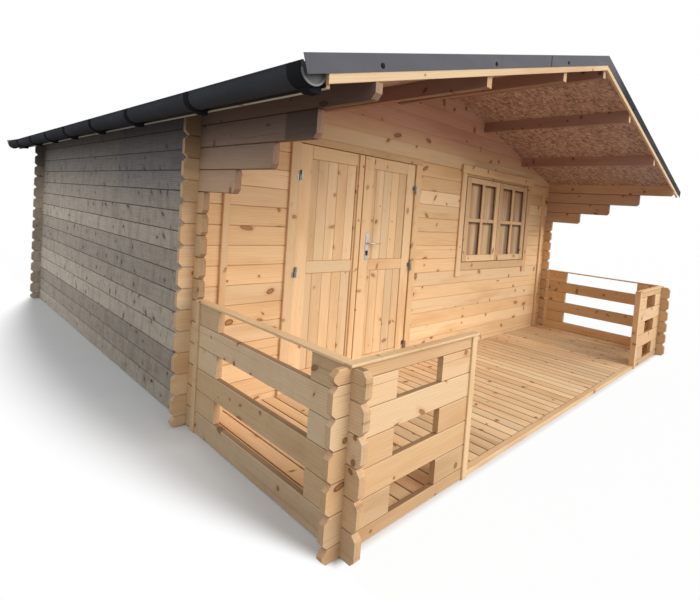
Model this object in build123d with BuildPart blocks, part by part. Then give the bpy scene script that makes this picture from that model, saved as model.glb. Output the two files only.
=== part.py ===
from build123d import *
from math import atan, cos, sin
import os

os.makedirs("parts", exist_ok=True)

# A log cabin with an open veranda under a deep front canopy.
# X runs along the front, Y from the front to the back and Z up from the ground.

# Wall logs
log_height = 135.0
log_thick = 36.0
edge_chamfer = 5.0
end_chamfer = 26.0
corner_overhang = 89.0
seat = 0.3
notch_share = 0.25
half_share = 0.5

# Plan
cabin_width = 4760.0
cabin_depth = 4620.0
veranda_depth = 1560.0
side_rows = 15
rail_rows = 6
corbel_reaches = [475.0, 852.0, 1207.0]
eaves_lip = 30.0

# Roof
roof_slope_share = 0.304
wall_line_rise = 1996.0
roof_front_overhang = 1552.0
roof_back_overhang = 200.0
eave_overhang = 216.0
sheet_overhang = 262.0
verge_overhang = 308.0
upper_purlin_offset = 680.0
lower_purlin_offset = 1560.0
purlin_thick = 44.0
purlin_height = 98.0
purlin_tip = 150.0
roof_board_rise = 19.0
sheet_rise = 6.0
rib_rise = 20.0
rib_pitch = 131.0
rib_foot = 52.0
rib_top = 26.0
ridge_cap_reach = 150.0
ridge_cap_rise = 4.0
barge_thick = 20.0
barge_drop = 37.0
barge_rise = 70.0
flashing_drop = 74.0
flashing_thick = 3.0
flashing_width = 50.0

# Gutter
gutter_offset = 264.0
gutter_top = 1928.0
gutter_radius = 50.0
gutter_lip = 23.0
gutter_wall = 3.0
gutter_inset = 8.0
bracket_wall = 4.0
bracket_width = 26.0
bracket_count = 9
bracket_reach = 160.0

# Veranda
front_rail_length = 888.0
rail_block = 240.0
post_width = 45.0
post_lip = 10.0
handrail_thick = 25.0
handrail_lip = 15.0
deck_top = 30.0
deck_gap = 12.0

# Doors
door_centre_share = 0.2815
door_leaf_width = 617.5
door_leaf_thick = 36.0
door_leaf_proud = 6.0
door_leaf_top = 1905.0
door_leaf_bottom = 48.0
door_stile = 95.0
door_top_rail = 95.0
door_mid_rail_bottom = 934.0
door_mid_rail_top = 1027.0
door_bottom_rail = 130.0
door_panel_recess = 9.0
moving_gap = 5.0
meeting_gap = 9.0
door_jamb = 30.0
threshold_top = 42.0
meeting_strip_width = 52.0
meeting_strip_inset = 10.0
meeting_strip_thick = 12.0
hinge_heights = [200.0, 950.0, 1670.0]
hinge_axis_proud = 34.0
hinge_radius = 7.0
hinge_half = 38.0
hinge_tab_width = 18.0
hinge_tab_thick = 3.0
hinge_web_offset = 8.0

# Door handle
plate_width = 38.0
plate_height = 237.0
plate_drop = 145.0
plate_thick = 4.0
plate_from_edge = 75.0
lever_height = 1168.0
lever_radius = 9.0
lever_neck = 46.0
lever_length = 125.0
lever_height_across = 18.0
lever_thick = 12.0

# Window
window_centre_share = 0.724
sash_width = 650.0
sash_thick = 40.0
sash_proud = 15.0
sash_top = 1893.0
sash_bottom = 972.0
sash_stile = 75.0
sash_top_rail = 57.0
sash_bottom_rail = 70.0
glass_thick = 6.0
window_frame_width = 35.0
window_base_rows = 6

# Trim boards on the front wall
trim_width = 78.0
trim_thick = 20.0
trim_head_height = 56.0
window_head_bottom = 1925.0
window_head_height = 88.0
window_head_lip = 16.0
window_head_thick = 32.0
window_reveal = 20.0
window_apron_height = 86.0
window_apron_drop = 7.0
window_trim_foot = 812.0
batten_width = 44.0
batten_thick = 22.0
batten_inset = 158.0
batten_top = 1940.0

# Cuts run past the faces by this much
overrun = 5.0

# Places worked out from the sizes above
half_width = cabin_width * half_share
back_reach = roof_back_overhang + barge_thick + seat + flashing_thick
body_length = veranda_depth + corner_overhang + cabin_depth + back_reach
front_y = veranda_depth + corner_overhang - body_length * half_share
back_y = front_y + cabin_depth
rail_y = front_y - veranda_depth
roof_front_y = front_y - roof_front_overhang
roof_back_y = back_y + roof_back_overhang
notch = log_height * notch_share
half_log = log_height * half_share
slope_angle = atan(roof_slope_share)
slope_direction = (cos(slope_angle), 0, sin(slope_angle))
ridge_rise = wall_line_rise + half_width * roof_slope_share
wall_top_rise = half_log + (side_rows - 1) * log_height


def under_roof(x):
    """Height of the underside of the roof boards over a place across the cabin."""
    return ridge_rise - abs(x) * roof_slope_share


def reach_at(z):
    """Distance from the middle at which the roof's underside comes down to a height."""
    return (ridge_rise - z) / roof_slope_share


def across(y):
    """Plane standing across the cabin, with X to the right and Z up, facing the front."""
    return Plane(origin=(0, y, 0), x_dir=(1, 0, 0), z_dir=(0, -1, 0))


def along(x):
    """Plane standing along the cabin, with Y to the right and Z up, facing +X."""
    return Plane(origin=(x, 0, 0), x_dir=(0, 1, 0), z_dir=(1, 0, 0))


def slab(x0, x1, y0, y1, z0, z1, mode=Mode.ADD):
    """Box between two corners, added to the part being built."""
    middle = ((x0 + x1) * half_share, (y0 + y1) * half_share, (z0 + z1) * half_share)
    with Locations(middle):
        Box(abs(x1 - x0), abs(y1 - y0), abs(z1 - z0), mode=mode)


def log_section(a0, a1, z0, z1):
    """Section of one log, its long edges eased, with half a seat left above and below."""
    low = z0 + seat * half_share
    high = z1 - seat * half_share
    c = edge_chamfer
    Polygon(
        (a0 + c, low), (a1 - c, low), (a1, low + c), (a1, high - c),
        (a1 - c, high), (a0 + c, high), (a0, high - c), (a0, low + c),
        align=None,
    )


def logs_along_y(x_left, rows, y0, y1):
    """Logs that run from front to back, one for each pair of heights."""
    with BuildSketch(across(y1)) as section:
        for z0, z1 in rows:
            log_section(x_left, x_left + log_thick, z0, z1)
    extrude(section.sketch, amount=y1 - y0)


def logs_along_x(y_front, rows, x0, x1):
    """Logs that run across the front or back, one for each pair of heights."""
    with BuildSketch(along(x0)) as section:
        for z0, z1 in rows:
            log_section(y_front, y_front + log_thick, z0, z1)
    extrude(section.sketch, amount=x1 - x0)


def ease_ends_along_y(x_left, y_end, outward, joints):
    """Cut a V into the log ends at each joint of a wall that runs from front to back."""
    deep = y_end - outward * end_chamfer
    past = y_end + outward * overrun
    with BuildSketch(along(x_left - overrun)) as section:
        for z in joints:
            Polygon(
                (deep, z), (past, z + end_chamfer + overrun), (past, z - end_chamfer - overrun),
                align=None,
            )
    extrude(section.sketch, amount=log_thick + overrun + overrun, mode=Mode.SUBTRACT)


def ease_ends_along_x(y_front, x_end, outward, joints):
    """Cut a V into the log ends at each joint of a wall that runs across."""
    deep = x_end - outward * end_chamfer
    past = x_end + outward * overrun
    with BuildSketch(across(y_front + log_thick + overrun)) as section:
        for z in joints:
            Polygon(
                (deep, z), (past, z + end_chamfer + overrun), (past, z - end_chamfer - overrun),
                align=None,
            )
    extrude(section.sketch, amount=log_thick + overrun + overrun, mode=Mode.SUBTRACT)


def notch_along_y(x_left, y_front, joints):
    """Notches in logs that run from front to back."""
    deep = notch + notch + seat
    run = log_thick + seat + seat
    wide = log_thick + overrun + overrun
    spots = [(x_left + log_thick * half_share, y_front + log_thick * half_share, z) for z in joints]
    with Locations(*spots):
        Box(wide, run, deep, mode=Mode.SUBTRACT)


def notch_along_x(x_left, y_front, joints):
    """Notches in logs that run across."""
    deep = notch + notch + seat
    run = log_thick + seat + seat
    wide = log_thick + overrun + overrun
    spots = [(x_left + log_thick * half_share, y_front + log_thick * half_share, z) for z in joints]
    with Locations(*spots):
        Box(run, wide, deep, mode=Mode.SUBTRACT)


def finish(name, built):
    """Name a finished piece and write it out."""
    built.part.label = name
    export_step(built.part, "parts/" + name + ".step")


# Rows of logs: the side walls start with a whole log, the front and back with half a log
full_joints = [row * log_height for row in range(side_rows)]
half_joints = [row * log_height + half_log for row in range(side_rows)]
full_rows = [(z, z + log_height) for z in full_joints]
half_rows = [(0, half_log)] + [(z, z + log_height) for z in half_joints[:-1]]

left_x = -half_width
right_x = half_width - log_thick
log_reach = half_width + corner_overhang
corbel_first = side_rows - 1 - len(corbel_reaches)


# Side walls: plain rows, three corbels that step forward, and the eaves log under the roof
def side_wall(x_left):
    """One side wall, added to the part being built."""
    plain_front = front_y - corner_overhang
    wall_back = back_y + corner_overhang
    logs_along_y(x_left, full_rows[:corbel_first], plain_front, wall_back)
    for step, reach in enumerate(corbel_reaches):
        row = corbel_first + step
        logs_along_y(x_left, full_rows[row:row + 1], front_y - reach, wall_back)
        ease_ends_along_y(x_left, front_y - reach, -1, full_joints[row:row + 1])
    eaves_bottom = full_joints[-1] + seat * half_share
    x_right = x_left + log_thick
    with BuildSketch(across(roof_back_y)) as section:
        Polygon(
            (x_left, eaves_bottom), (x_right, eaves_bottom),
            (x_right, under_roof(x_right) - seat), (x_left, under_roof(x_left) - seat),
            align=None,
        )
    extrude(section.sketch, amount=roof_back_y - roof_front_y)
    eaves_front = roof_front_y - eaves_lip
    lip_top = under_roof(half_width) - barge_drop - seat - seat
    slab(x_left, x_right, eaves_front, roof_front_y, eaves_bottom, lip_top)
    ease_ends_along_y(x_left, plain_front, -1, full_joints[:corbel_first])
    ease_ends_along_y(x_left, wall_back, 1, full_joints[:-1])
    ease_ends_along_y(x_left, eaves_front, -1, full_joints[-1:])
    ease_ends_along_y(x_left, roof_back_y, 1, full_joints[-1:])
    notch_along_y(x_left, front_y, full_joints)
    notch_along_y(x_left, back_y - log_thick, full_joints)


with BuildPart() as left_wall_logs:
    side_wall(left_x)
finish("left_wall_logs", left_wall_logs)

with BuildPart() as right_wall_logs:
    side_wall(right_x)
finish("right_wall_logs", right_wall_logs)

# Back wall, full width with its ends crossing the side walls
with BuildPart() as back_wall_logs:
    back_log_y = back_y - log_thick
    logs_along_x(back_log_y, half_rows, -log_reach, log_reach)
    ease_ends_along_x(back_log_y, -log_reach, -1, [0] + half_joints)
    ease_ends_along_x(back_log_y, log_reach, 1, [0] + half_joints)
    notch_along_x(left_x, back_log_y, half_joints)
    notch_along_x(right_x, back_log_y, half_joints)
finish("back_wall_logs", back_wall_logs)

# Front wall beside the doors and around the window
door_middle_x = cabin_width * door_centre_share - half_width
door_clear = door_leaf_width + meeting_gap * half_share
door_open_half = door_clear + moving_gap + door_jamb
door_open_left = door_middle_x - door_open_half
door_open_right = door_middle_x + door_open_half
window_middle_x = cabin_width * window_centre_share - half_width
window_open_half = sash_width + moving_gap * half_share + window_frame_width
window_open_left = window_middle_x - window_open_half
window_open_right = window_middle_x + window_open_half
window_rows_start = window_base_rows + 1
window_open_bottom = half_joints[window_base_rows]

with BuildPart() as front_wall_left_logs:
    logs_along_x(front_y, half_rows, -log_reach, door_open_left)
    ease_ends_along_x(front_y, -log_reach, -1, [0] + half_joints)
    notch_along_x(left_x, front_y, half_joints)
finish("front_wall_left_logs", front_wall_left_logs)

with BuildPart() as front_wall_right_logs:
    logs_along_x(front_y, half_rows[:window_rows_start], door_open_right, log_reach)
    logs_along_x(front_y, half_rows[window_rows_start:], door_open_right, window_open_left)
    logs_along_x(front_y, half_rows[window_rows_start:], window_open_right, log_reach)
    ease_ends_along_x(front_y, log_reach, 1, [0] + half_joints)
    notch_along_x(right_x, front_y, half_joints)
finish("front_wall_right_logs", front_wall_right_logs)

# Gables: logs trimmed to the roof and cut around the purlins
purlin_half = purlin_thick * half_share
purlin_offsets = [-lower_purlin_offset, -upper_purlin_offset, 0, upper_purlin_offset, lower_purlin_offset]
gable_rows = int((ridge_rise - wall_top_rise) / log_height) + 1


def gable(y_front):
    """One gable, added to the part being built."""
    wall_inside = half_width - log_thick - seat
    with BuildSketch(across(y_front + log_thick)) as section:
        for row in range(gable_rows):
            low = wall_top_rise + row * log_height + seat * half_share
            high = low + log_height - seat
            top = min(high, ridge_rise - seat)
            reach = min(reach_at(low + seat), wall_inside)
            for offset in (upper_purlin_offset, lower_purlin_offset):
                if offset < reach < offset + purlin_tip:
                    reach = offset
            brow = min(under_roof(reach) - seat, top)
            crown = min(reach_at(top + seat), reach)
            right = [(reach, low), (reach, brow), (crown, top)]
            left = [(-x, z) for x, z in reversed(right)]
            points = []
            for point in left + right:
                if point not in points:
                    points.append(point)
            Polygon(*points, align=None)
    extrude(section.sketch, amount=log_thick)
    wide = purlin_thick + seat + seat
    deep = purlin_height + seat
    for x in purlin_offsets:
        base = under_roof(x) - deep
        slab(
            x - wide * half_share, x + wide * half_share, y_front - overrun, y_front + log_thick + overrun,
            base, base + deep + log_thick, mode=Mode.SUBTRACT,
        )


with BuildPart() as front_gable_logs:
    gable(front_y)
finish("front_gable_logs", front_gable_logs)

with BuildPart() as back_gable_logs:
    gable(back_y - log_thick)
finish("back_gable_logs", back_gable_logs)

# Purlins, each bevelled to the roof on top
with BuildPart() as ridge_purlin:
    with BuildSketch(across(roof_back_y)):
        Polygon(
            (-purlin_half, ridge_rise - purlin_height), (purlin_half, ridge_rise - purlin_height),
            (purlin_half, under_roof(purlin_half) - seat), (0, ridge_rise - seat),
            (-purlin_half, under_roof(purlin_half) - seat),
            align=None,
        )
    extrude(amount=roof_back_y - roof_front_y)
finish("ridge_purlin", ridge_purlin)

with BuildPart() as side_purlins:
    with BuildSketch(across(roof_back_y)):
        for x in (offset for offset in purlin_offsets if offset):
            base = under_roof(x) - purlin_height
            Polygon(
                (x - purlin_half, base), (x + purlin_half, base),
                (x + purlin_half, under_roof(x + purlin_half) - seat),
                (x - purlin_half, under_roof(x - purlin_half) - seat),
                align=None,
            )
    extrude(amount=roof_back_y - roof_front_y)
finish("side_purlins", side_purlins)


# Roof boards and profiled sheets, one of each to a slope
def slope_points(x0, x1, low, high):
    """Corners of a layer of the roof between two places on one slope."""
    return [
        (x0, under_roof(x0) + low), (x1, under_roof(x1) + low),
        (x1, under_roof(x1) + high), (x0, under_roof(x0) + high),
    ]


eave_x = half_width + eave_overhang
ridge_gap = seat * half_share

with BuildPart() as roof_boards_left:
    with BuildSketch(across(roof_back_y)):
        Polygon(*slope_points(-eave_x, -ridge_gap, 0, roof_board_rise), align=None)
    extrude(amount=roof_back_y - roof_front_y)
finish("roof_boards_left", roof_boards_left)

with BuildPart() as roof_boards_right:
    with BuildSketch(across(roof_back_y)):
        Polygon(*slope_points(ridge_gap, eave_x, 0, roof_board_rise), align=None)
    extrude(amount=roof_back_y - roof_front_y)
finish("roof_boards_right", roof_boards_right)

sheet_x = half_width + sheet_overhang
roof_length = roof_back_y - roof_front_y
rib_count = int((roof_length - rib_foot) / rib_pitch)
rib_start = roof_front_y + (roof_length - (rib_count - 1) * rib_pitch) * half_share


def sheet_profile(edge_x):
    """Section of the profiled sheet at the eave: a flat pan with ribs standing on it."""
    low = under_roof(edge_x) + roof_board_rise + seat
    pan = low + sheet_rise
    crest = pan + rib_rise
    points = [(roof_back_y, pan), (roof_back_y, low), (roof_front_y, low), (roof_front_y, pan)]
    for rib in range(rib_count):
        y = rib_start + rib * rib_pitch
        points.append((y - rib_foot * half_share, pan))
        points.append((y - rib_top * half_share, crest))
        points.append((y + rib_top * half_share, crest))
        points.append((y + rib_foot * half_share, pan))
    return points


sheet_run = (sheet_x - ridge_gap) / cos(slope_angle)
sheet_top = roof_board_rise + seat + sheet_rise + rib_rise

with BuildPart() as roof_sheet_left:
    with BuildSketch(along(-sheet_x)):
        Polygon(*sheet_profile(-sheet_x), align=None)
    extrude(amount=sheet_run, dir=slope_direction)
finish("roof_sheet_left", roof_sheet_left)

with BuildPart() as roof_sheet_right:
    with BuildSketch(along(-sheet_x)):
        Polygon(*sheet_profile(-sheet_x), align=None)
    extrude(amount=sheet_run, dir=slope_direction)
    mirror(about=Plane.YZ, mode=Mode.REPLACE)
finish("roof_sheet_right", roof_sheet_right)

# Barge boards and the bent metal verge flashings over them
barge_front_y = roof_front_y - barge_thick
barge_back_y = roof_back_y + barge_thick


def barge_boards(y_far, thick):
    """The two sloping boards across one end of the roof."""
    with BuildSketch(across(y_far)) as section:
        Polygon(*slope_points(-eave_x, -ridge_gap, -barge_drop, barge_rise), align=None)
        Polygon(*slope_points(ridge_gap, eave_x, -barge_drop, barge_rise), align=None)
    extrude(section.sketch, amount=thick)


with BuildPart() as front_barge_boards:
    barge_boards(roof_front_y - seat, barge_thick - seat)
finish("front_barge_boards", front_barge_boards)

with BuildPart() as back_barge_boards:
    barge_boards(barge_back_y, barge_thick - seat)
finish("back_barge_boards", back_barge_boards)

verge_x = half_width + verge_overhang
verge_run = (verge_x + barge_rise + flashing_drop) / cos(slope_angle)


def verge_flashing(face_y, inward):
    """Bent strip: a face before the barge board, and over the sheet a flat top and a turned-down back."""
    under = (barge_rise + seat) * cos(slope_angle)
    top = under + flashing_thick
    low = top - flashing_drop * cos(slope_angle)
    foot = (sheet_top + seat) * cos(slope_angle)
    outer = face_y - inward * (flashing_thick + seat)
    face_back = outer + inward * flashing_thick
    inner = face_y + inward * (barge_thick + flashing_width)
    inner_front = inner - inward * flashing_thick
    square_end = Plane(origin=(-verge_x, 0, under_roof(verge_x)), x_dir=(0, 1, 0), z_dir=slope_direction)
    with BuildSketch(square_end) as section:
        Polygon(
            (outer, low), (face_back, low), (face_back, under), (inner_front, under),
            (inner_front, foot), (inner, foot), (inner, top), (outer, top),
            align=None,
        )
    extrude(section.sketch, amount=verge_run)
    slab(
        -ridge_gap, verge_x, min(outer, inner) - overrun, max(outer, inner) + overrun,
        0, ridge_rise + verge_run, mode=Mode.SUBTRACT,
    )
    slab(
        -verge_x - verge_run, -sheet_x, min(face_back, inner + inward * overrun),
        max(face_back, inner + inward * overrun), 0, ridge_rise + verge_run, mode=Mode.SUBTRACT,
    )
    mirror(about=Plane.YZ)


with BuildPart() as front_verge_flashing:
    verge_flashing(barge_front_y, 1)
finish("front_verge_flashing", front_verge_flashing)

with BuildPart() as back_verge_flashing:
    verge_flashing(barge_back_y, -1)
finish("back_verge_flashing", back_verge_flashing)

# Ridge cap lying on the ribs between the two verges
with BuildPart() as ridge_cap:
    cap_front = roof_front_y + flashing_width + seat
    cap_back = roof_back_y - flashing_width - seat
    cap_low = sheet_top + seat
    cap_high = cap_low + ridge_cap_rise
    with BuildSketch(across(cap_back)):
        Polygon(
            (-ridge_cap_reach, under_roof(ridge_cap_reach) + cap_low), (0, ridge_rise + cap_low),
            (ridge_cap_reach, under_roof(ridge_cap_reach) + cap_low),
            (ridge_cap_reach, under_roof(ridge_cap_reach) + cap_high), (0, ridge_rise + cap_high),
            (-ridge_cap_reach, under_roof(ridge_cap_reach) + cap_high),
            align=None,
        )
    extrude(amount=cap_back - cap_front)
finish("ridge_cap", ridge_cap)

# Half-round gutter along the left eave with a raised outer edge and closed ends, and its brackets
gutter_x = -half_width - gutter_offset
gutter_front = roof_front_y + gutter_inset
gutter_back = roof_back_y - gutter_inset


def half_round(radius, top):
    """Lower half of a disc in the plane of the current sketch."""
    with Locations((gutter_x, top)):
        Circle(radius)
    with Locations((gutter_x, top)):
        Rectangle(
            radius + radius + overrun, radius + overrun,
            align=(Align.CENTER, Align.MIN), mode=Mode.SUBTRACT,
        )


with BuildPart() as gutter:
    with BuildSketch(across(gutter_back)):
        half_round(gutter_radius, gutter_top)
    extrude(amount=gutter_back - gutter_front)
    with BuildSketch(across(gutter_back - gutter_wall)):
        with Locations((gutter_x, gutter_top)):
            Circle(gutter_radius - gutter_wall)
    extrude(amount=gutter_back - gutter_front - gutter_wall - gutter_wall, mode=Mode.SUBTRACT)
    gutter_outer = gutter_x - gutter_radius
    slab(
        gutter_outer, gutter_outer + gutter_wall, gutter_front, gutter_back,
        gutter_top - gutter_wall, gutter_top + gutter_lip,
    )
    for cap_y in (gutter_front + gutter_wall, gutter_back):
        with BuildSketch(across(cap_y)):
            Polygon(
                (gutter_outer, gutter_top + gutter_lip), (gutter_outer, gutter_top), (gutter_x, gutter_top),
                align=None,
            )
        extrude(amount=gutter_wall)
finish("gutter", gutter)

bracket_first = gutter_front + bracket_reach
bracket_step = (gutter_back - gutter_front - bracket_reach - bracket_reach) / (bracket_count - 1)
bracket_inner = gutter_radius + seat
bracket_outer = bracket_inner + bracket_wall
arm_x0 = gutter_x + bracket_inner
arm_x1 = arm_x0 + bracket_reach

with BuildPart() as gutter_brackets:
    for bracket in range(bracket_count):
        bracket_y = bracket_first + bracket * bracket_step
        with BuildSketch(across(bracket_y + bracket_width * half_share)):
            with Locations((gutter_x, gutter_top)):
                Circle(bracket_outer)
                Circle(bracket_inner, mode=Mode.SUBTRACT)
            with Locations((gutter_x, gutter_top)):
                Rectangle(
                    bracket_outer + bracket_outer + overrun, bracket_outer + overrun,
                    align=(Align.CENTER, Align.MIN), mode=Mode.SUBTRACT,
                )
            Polygon(
                (gutter_x - bracket_outer, gutter_top), (gutter_x - bracket_inner, gutter_top),
                (gutter_x - bracket_inner, gutter_top + gutter_lip),
                (gutter_x - bracket_outer, gutter_top + gutter_lip),
                align=None,
            )
            arm_top = under_roof(arm_x0) - seat
            Polygon(
                (arm_x0, gutter_top), (arm_x0 + bracket_wall, gutter_top),
                (arm_x0 + bracket_wall, under_roof(arm_x0 + bracket_wall) - seat - bracket_wall),
                (arm_x1, under_roof(arm_x1) - seat - bracket_wall), (arm_x1, under_roof(arm_x1) - seat),
                (arm_x0, arm_top),
                align=None,
            )
        extrude(amount=bracket_width)
finish("gutter_brackets", gutter_brackets)

# Veranda rails: logs and short blocks in turn, crossing at the front corners
rail_full_joints = [row * log_height for row in range(rail_rows + 1)]
rail_half_joints = [row * log_height + half_log for row in range(rail_rows)]
rail_top = rail_rows * log_height
side_rail_front = rail_y - corner_overhang
side_rail_back = front_y - corner_overhang - post_width - seat
side_block_front = rail_y + log_thick + rail_block
side_block_back = side_rail_back - rail_block
side_log_rows = [(z, z + log_height) for z in rail_full_joints[:-1:2]]
side_block_rows = [(z, z + log_height) for z in rail_full_joints[1::2]]


def side_rail(x_left):
    """Logs of one side rail, added to the part being built."""
    logs_along_y(x_left, side_log_rows, side_rail_front, side_rail_back)
    logs_along_y(x_left, side_block_rows, side_rail_front, side_block_front)
    logs_along_y(x_left, side_block_rows, side_block_back, side_rail_back)
    ease_ends_along_y(x_left, side_rail_front, -1, rail_full_joints)
    notch_along_y(x_left, rail_y, rail_full_joints)


with BuildPart() as left_side_rail_logs:
    side_rail(left_x)
finish("left_side_rail_logs", left_side_rail_logs)

with BuildPart() as right_side_rail_logs:
    side_rail(right_x)
finish("right_side_rail_logs", right_side_rail_logs)

front_rail_left = -log_reach
front_rail_end = front_rail_length - half_width
front_rail_right = front_rail_end - post_width - seat
front_block_left = left_x + log_thick + rail_block
front_block_right = front_rail_right - rail_block
front_block_rows = [(z, z + log_height) for z in rail_half_joints[:-1:2]]
front_log_rows = [(z, z + log_height) for z in rail_half_joints[1:-1:2]]
front_log_rows = [(0, half_log)] + front_log_rows + [(rail_half_joints[-1], rail_top)]


def front_rail():
    """Logs of the left front rail, added to the part being built."""
    logs_along_x(rail_y, front_log_rows, front_rail_left, front_rail_right)
    logs_along_x(rail_y, front_block_rows, front_rail_left, front_block_left)
    logs_along_x(rail_y, front_block_rows, front_block_right, front_rail_right)
    ease_ends_along_x(rail_y, front_rail_left, -1, [0] + rail_half_joints + [rail_top])
    notch_along_x(left_x, rail_y, rail_half_joints)


with BuildPart() as left_front_rail_logs:
    front_rail()
finish("left_front_rail_logs", left_front_rail_logs)

with BuildPart() as right_front_rail_logs:
    front_rail()
    mirror(about=Plane.YZ, mode=Mode.REPLACE)
finish("right_front_rail_logs", right_front_rail_logs)

# Posts that close the rails at the entrance and against the cabin
with BuildPart() as rail_posts:
    slab(
        front_rail_end - post_width, front_rail_end, rail_y - post_lip, rail_y + log_thick + post_lip,
        0, rail_top,
    )
    slab(
        left_x - post_lip, left_x + log_thick + post_lip,
        side_rail_back + seat, side_rail_back + post_width, 0, rail_top,
    )
    mirror(about=Plane.YZ)
finish("rail_posts", rail_posts)

# Handrail boards along the sides and over the front rails, mitred where the logs cross
hand_outer = left_x - handrail_lip
hand_inner = left_x + log_thick + handrail_lip
hand_front = rail_y - handrail_lip
hand_back = rail_y + log_thick + handrail_lip

with BuildPart() as handrails:
    with BuildSketch(Plane.XY.offset(rail_top + seat)):
        Polygon(
            (hand_outer, hand_front), (hand_inner, hand_back),
            (hand_inner, front_y - corner_overhang - seat), (hand_outer, front_y - corner_overhang - seat),
            align=None,
        )
        Polygon(
            (hand_outer + seat, hand_front), (front_rail_end + post_lip, hand_front),
            (front_rail_end + post_lip, hand_back), (hand_inner + seat, hand_back),
            align=None,
        )
    extrude(amount=handrail_thick - seat)
    mirror(about=Plane.YZ)
finish("handrails", handrails)

# Deck, entrance sill and cabin floor
deck_half = half_width - log_thick - deck_gap
deck_front = rail_y + log_thick + deck_gap

with BuildPart() as veranda_deck:
    slab(-deck_half, deck_half, deck_front, front_y - seat, 0, deck_top)
finish("veranda_deck", veranda_deck)

with BuildPart() as entrance_sill:
    sill_half = -front_rail_end - seat
    slab(-sill_half, sill_half, rail_y, deck_front - seat, 0, deck_top)
finish("entrance_sill", entrance_sill)

with BuildPart() as cabin_floor:
    floor_half = half_width - log_thick - seat
    slab(-floor_half, floor_half, front_y + log_thick + seat, back_y - log_thick - seat, 0, deck_top)
finish("cabin_floor", cabin_floor)

# Door frame: two jambs, a head and a threshold in the opening
door_head_bottom = door_leaf_top + moving_gap

with BuildPart() as door_frame:
    jamb_back = front_y + log_thick
    for side in (-1, 1):
        jamb_out = door_middle_x + side * (door_open_half - seat)
        jamb_in = door_middle_x + side * (door_clear + moving_gap)
        slab(min(jamb_out, jamb_in), max(jamb_out, jamb_in), front_y, jamb_back, 0, wall_top_rise - seat)
    jamb_left = door_middle_x - door_clear - moving_gap + seat
    jamb_right = door_middle_x + door_clear + moving_gap - seat
    slab(jamb_left, jamb_right, front_y, jamb_back, door_head_bottom, wall_top_rise - seat)
    slab(jamb_left, jamb_right, front_y, jamb_back, 0, threshold_top)
finish("door_frame", door_frame)

# Trim boards beside and over the doors
trim_back = front_y - seat
trim_front = front_y - trim_thick
door_trim_half = door_clear + moving_gap + trim_width

with BuildPart() as door_trim:
    for side in (-1, 1):
        trim_in = door_middle_x + side * (door_clear + moving_gap)
        trim_out = door_middle_x + side * door_trim_half
        slab(
            min(trim_in, trim_out), max(trim_in, trim_out), trim_front, trim_back,
            deck_top + seat, door_head_bottom,
        )
    slab(
        door_middle_x - door_trim_half, door_middle_x + door_trim_half, trim_front, trim_back,
        door_head_bottom + seat, door_head_bottom + trim_head_height,
    )
finish("door_trim", door_trim)

# Door leaves: a frame of stiles and rails with two sunk panels on each face
leaf_front = front_y - door_leaf_proud
leaf_back = leaf_front + door_leaf_thick
panel_fields = [
    (door_leaf_bottom + door_bottom_rail, door_mid_rail_bottom),
    (door_mid_rail_top, door_leaf_top - door_top_rail),
]


def door_leaf(x0, x1):
    """One leaf between two upright edges, added to the part being built."""
    slab(x0, x1, leaf_front, leaf_back, door_leaf_bottom, door_leaf_top)
    for low, high in panel_fields:
        slab(
            x0 + door_stile, x1 - door_stile, leaf_front - overrun, leaf_front + door_panel_recess,
            low, high, mode=Mode.SUBTRACT,
        )
        slab(
            x0 + door_stile, x1 - door_stile, leaf_back - door_panel_recess, leaf_back + overrun,
            low, high, mode=Mode.SUBTRACT,
        )


left_leaf_edge = door_middle_x - door_clear
left_leaf_meet = door_middle_x - meeting_gap * half_share
right_leaf_meet = door_middle_x + meeting_gap * half_share
right_leaf_edge = door_middle_x + door_clear

with BuildPart() as left_door_leaf:
    door_leaf(left_leaf_edge, left_leaf_meet)
finish("left_door_leaf", left_door_leaf)

with BuildPart() as right_door_leaf:
    door_leaf(right_leaf_meet, right_leaf_edge)
finish("right_door_leaf", right_door_leaf)

with BuildPart() as meeting_strip:
    strip_right = left_leaf_meet - meeting_strip_inset
    slab(
        strip_right - meeting_strip_width, strip_right, leaf_front - meeting_strip_thick,
        leaf_front - seat, door_leaf_bottom, door_leaf_top,
    )
finish("meeting_strip", meeting_strip)

# Hinges: the upper barrel and tab turn with the leaf, the lower ones stay on the trim
hinge_y = front_y - hinge_axis_proud
left_hinge_x = left_leaf_edge - moving_gap * half_share
right_hinge_x = right_leaf_edge + moving_gap * half_share


def hinge_halves(x, away, face_y, z_shift):
    """Three hinge halves on one line: a barrel, a bent strap and a tab lying on a face."""
    length = hinge_half - seat
    web = x + away * hinge_web_offset
    web_far = web + away * hinge_tab_thick
    tab_far = x + away * (hinge_web_offset + hinge_tab_width)
    strap_half = hinge_tab_thick * half_share
    for height in hinge_heights:
        low = height + z_shift
        high = low + length
        with Locations((x, hinge_y, low)):
            Cylinder(hinge_radius, length, align=(Align.CENTER, Align.CENTER, Align.MIN))
        slab(min(x, web_far), max(x, web_far), hinge_y - strap_half, hinge_y + strap_half, low, high)
        slab(min(web, web_far), max(web, web_far), hinge_y, face_y - seat, low, high)
        slab(min(web, tab_far), max(web, tab_far), face_y - hinge_tab_thick - seat, face_y - seat, low, high)


with BuildPart() as left_leaf_hinges:
    hinge_halves(left_hinge_x, 1, leaf_front, 0)
finish("left_leaf_hinges", left_leaf_hinges)

with BuildPart() as right_leaf_hinges:
    hinge_halves(right_hinge_x, -1, leaf_front, 0)
finish("right_leaf_hinges", right_leaf_hinges)

with BuildPart() as frame_hinges:
    hinge_halves(left_hinge_x, -1, trim_front, -hinge_half)
    hinge_halves(right_hinge_x, 1, trim_front, -hinge_half)
finish("frame_hinges", frame_hinges)

# Handle on the right leaf: a long plate and a lever
plate_x = right_leaf_meet + plate_from_edge
plate_front = leaf_front - plate_thick
plate_bottom = lever_height - plate_drop

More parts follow.
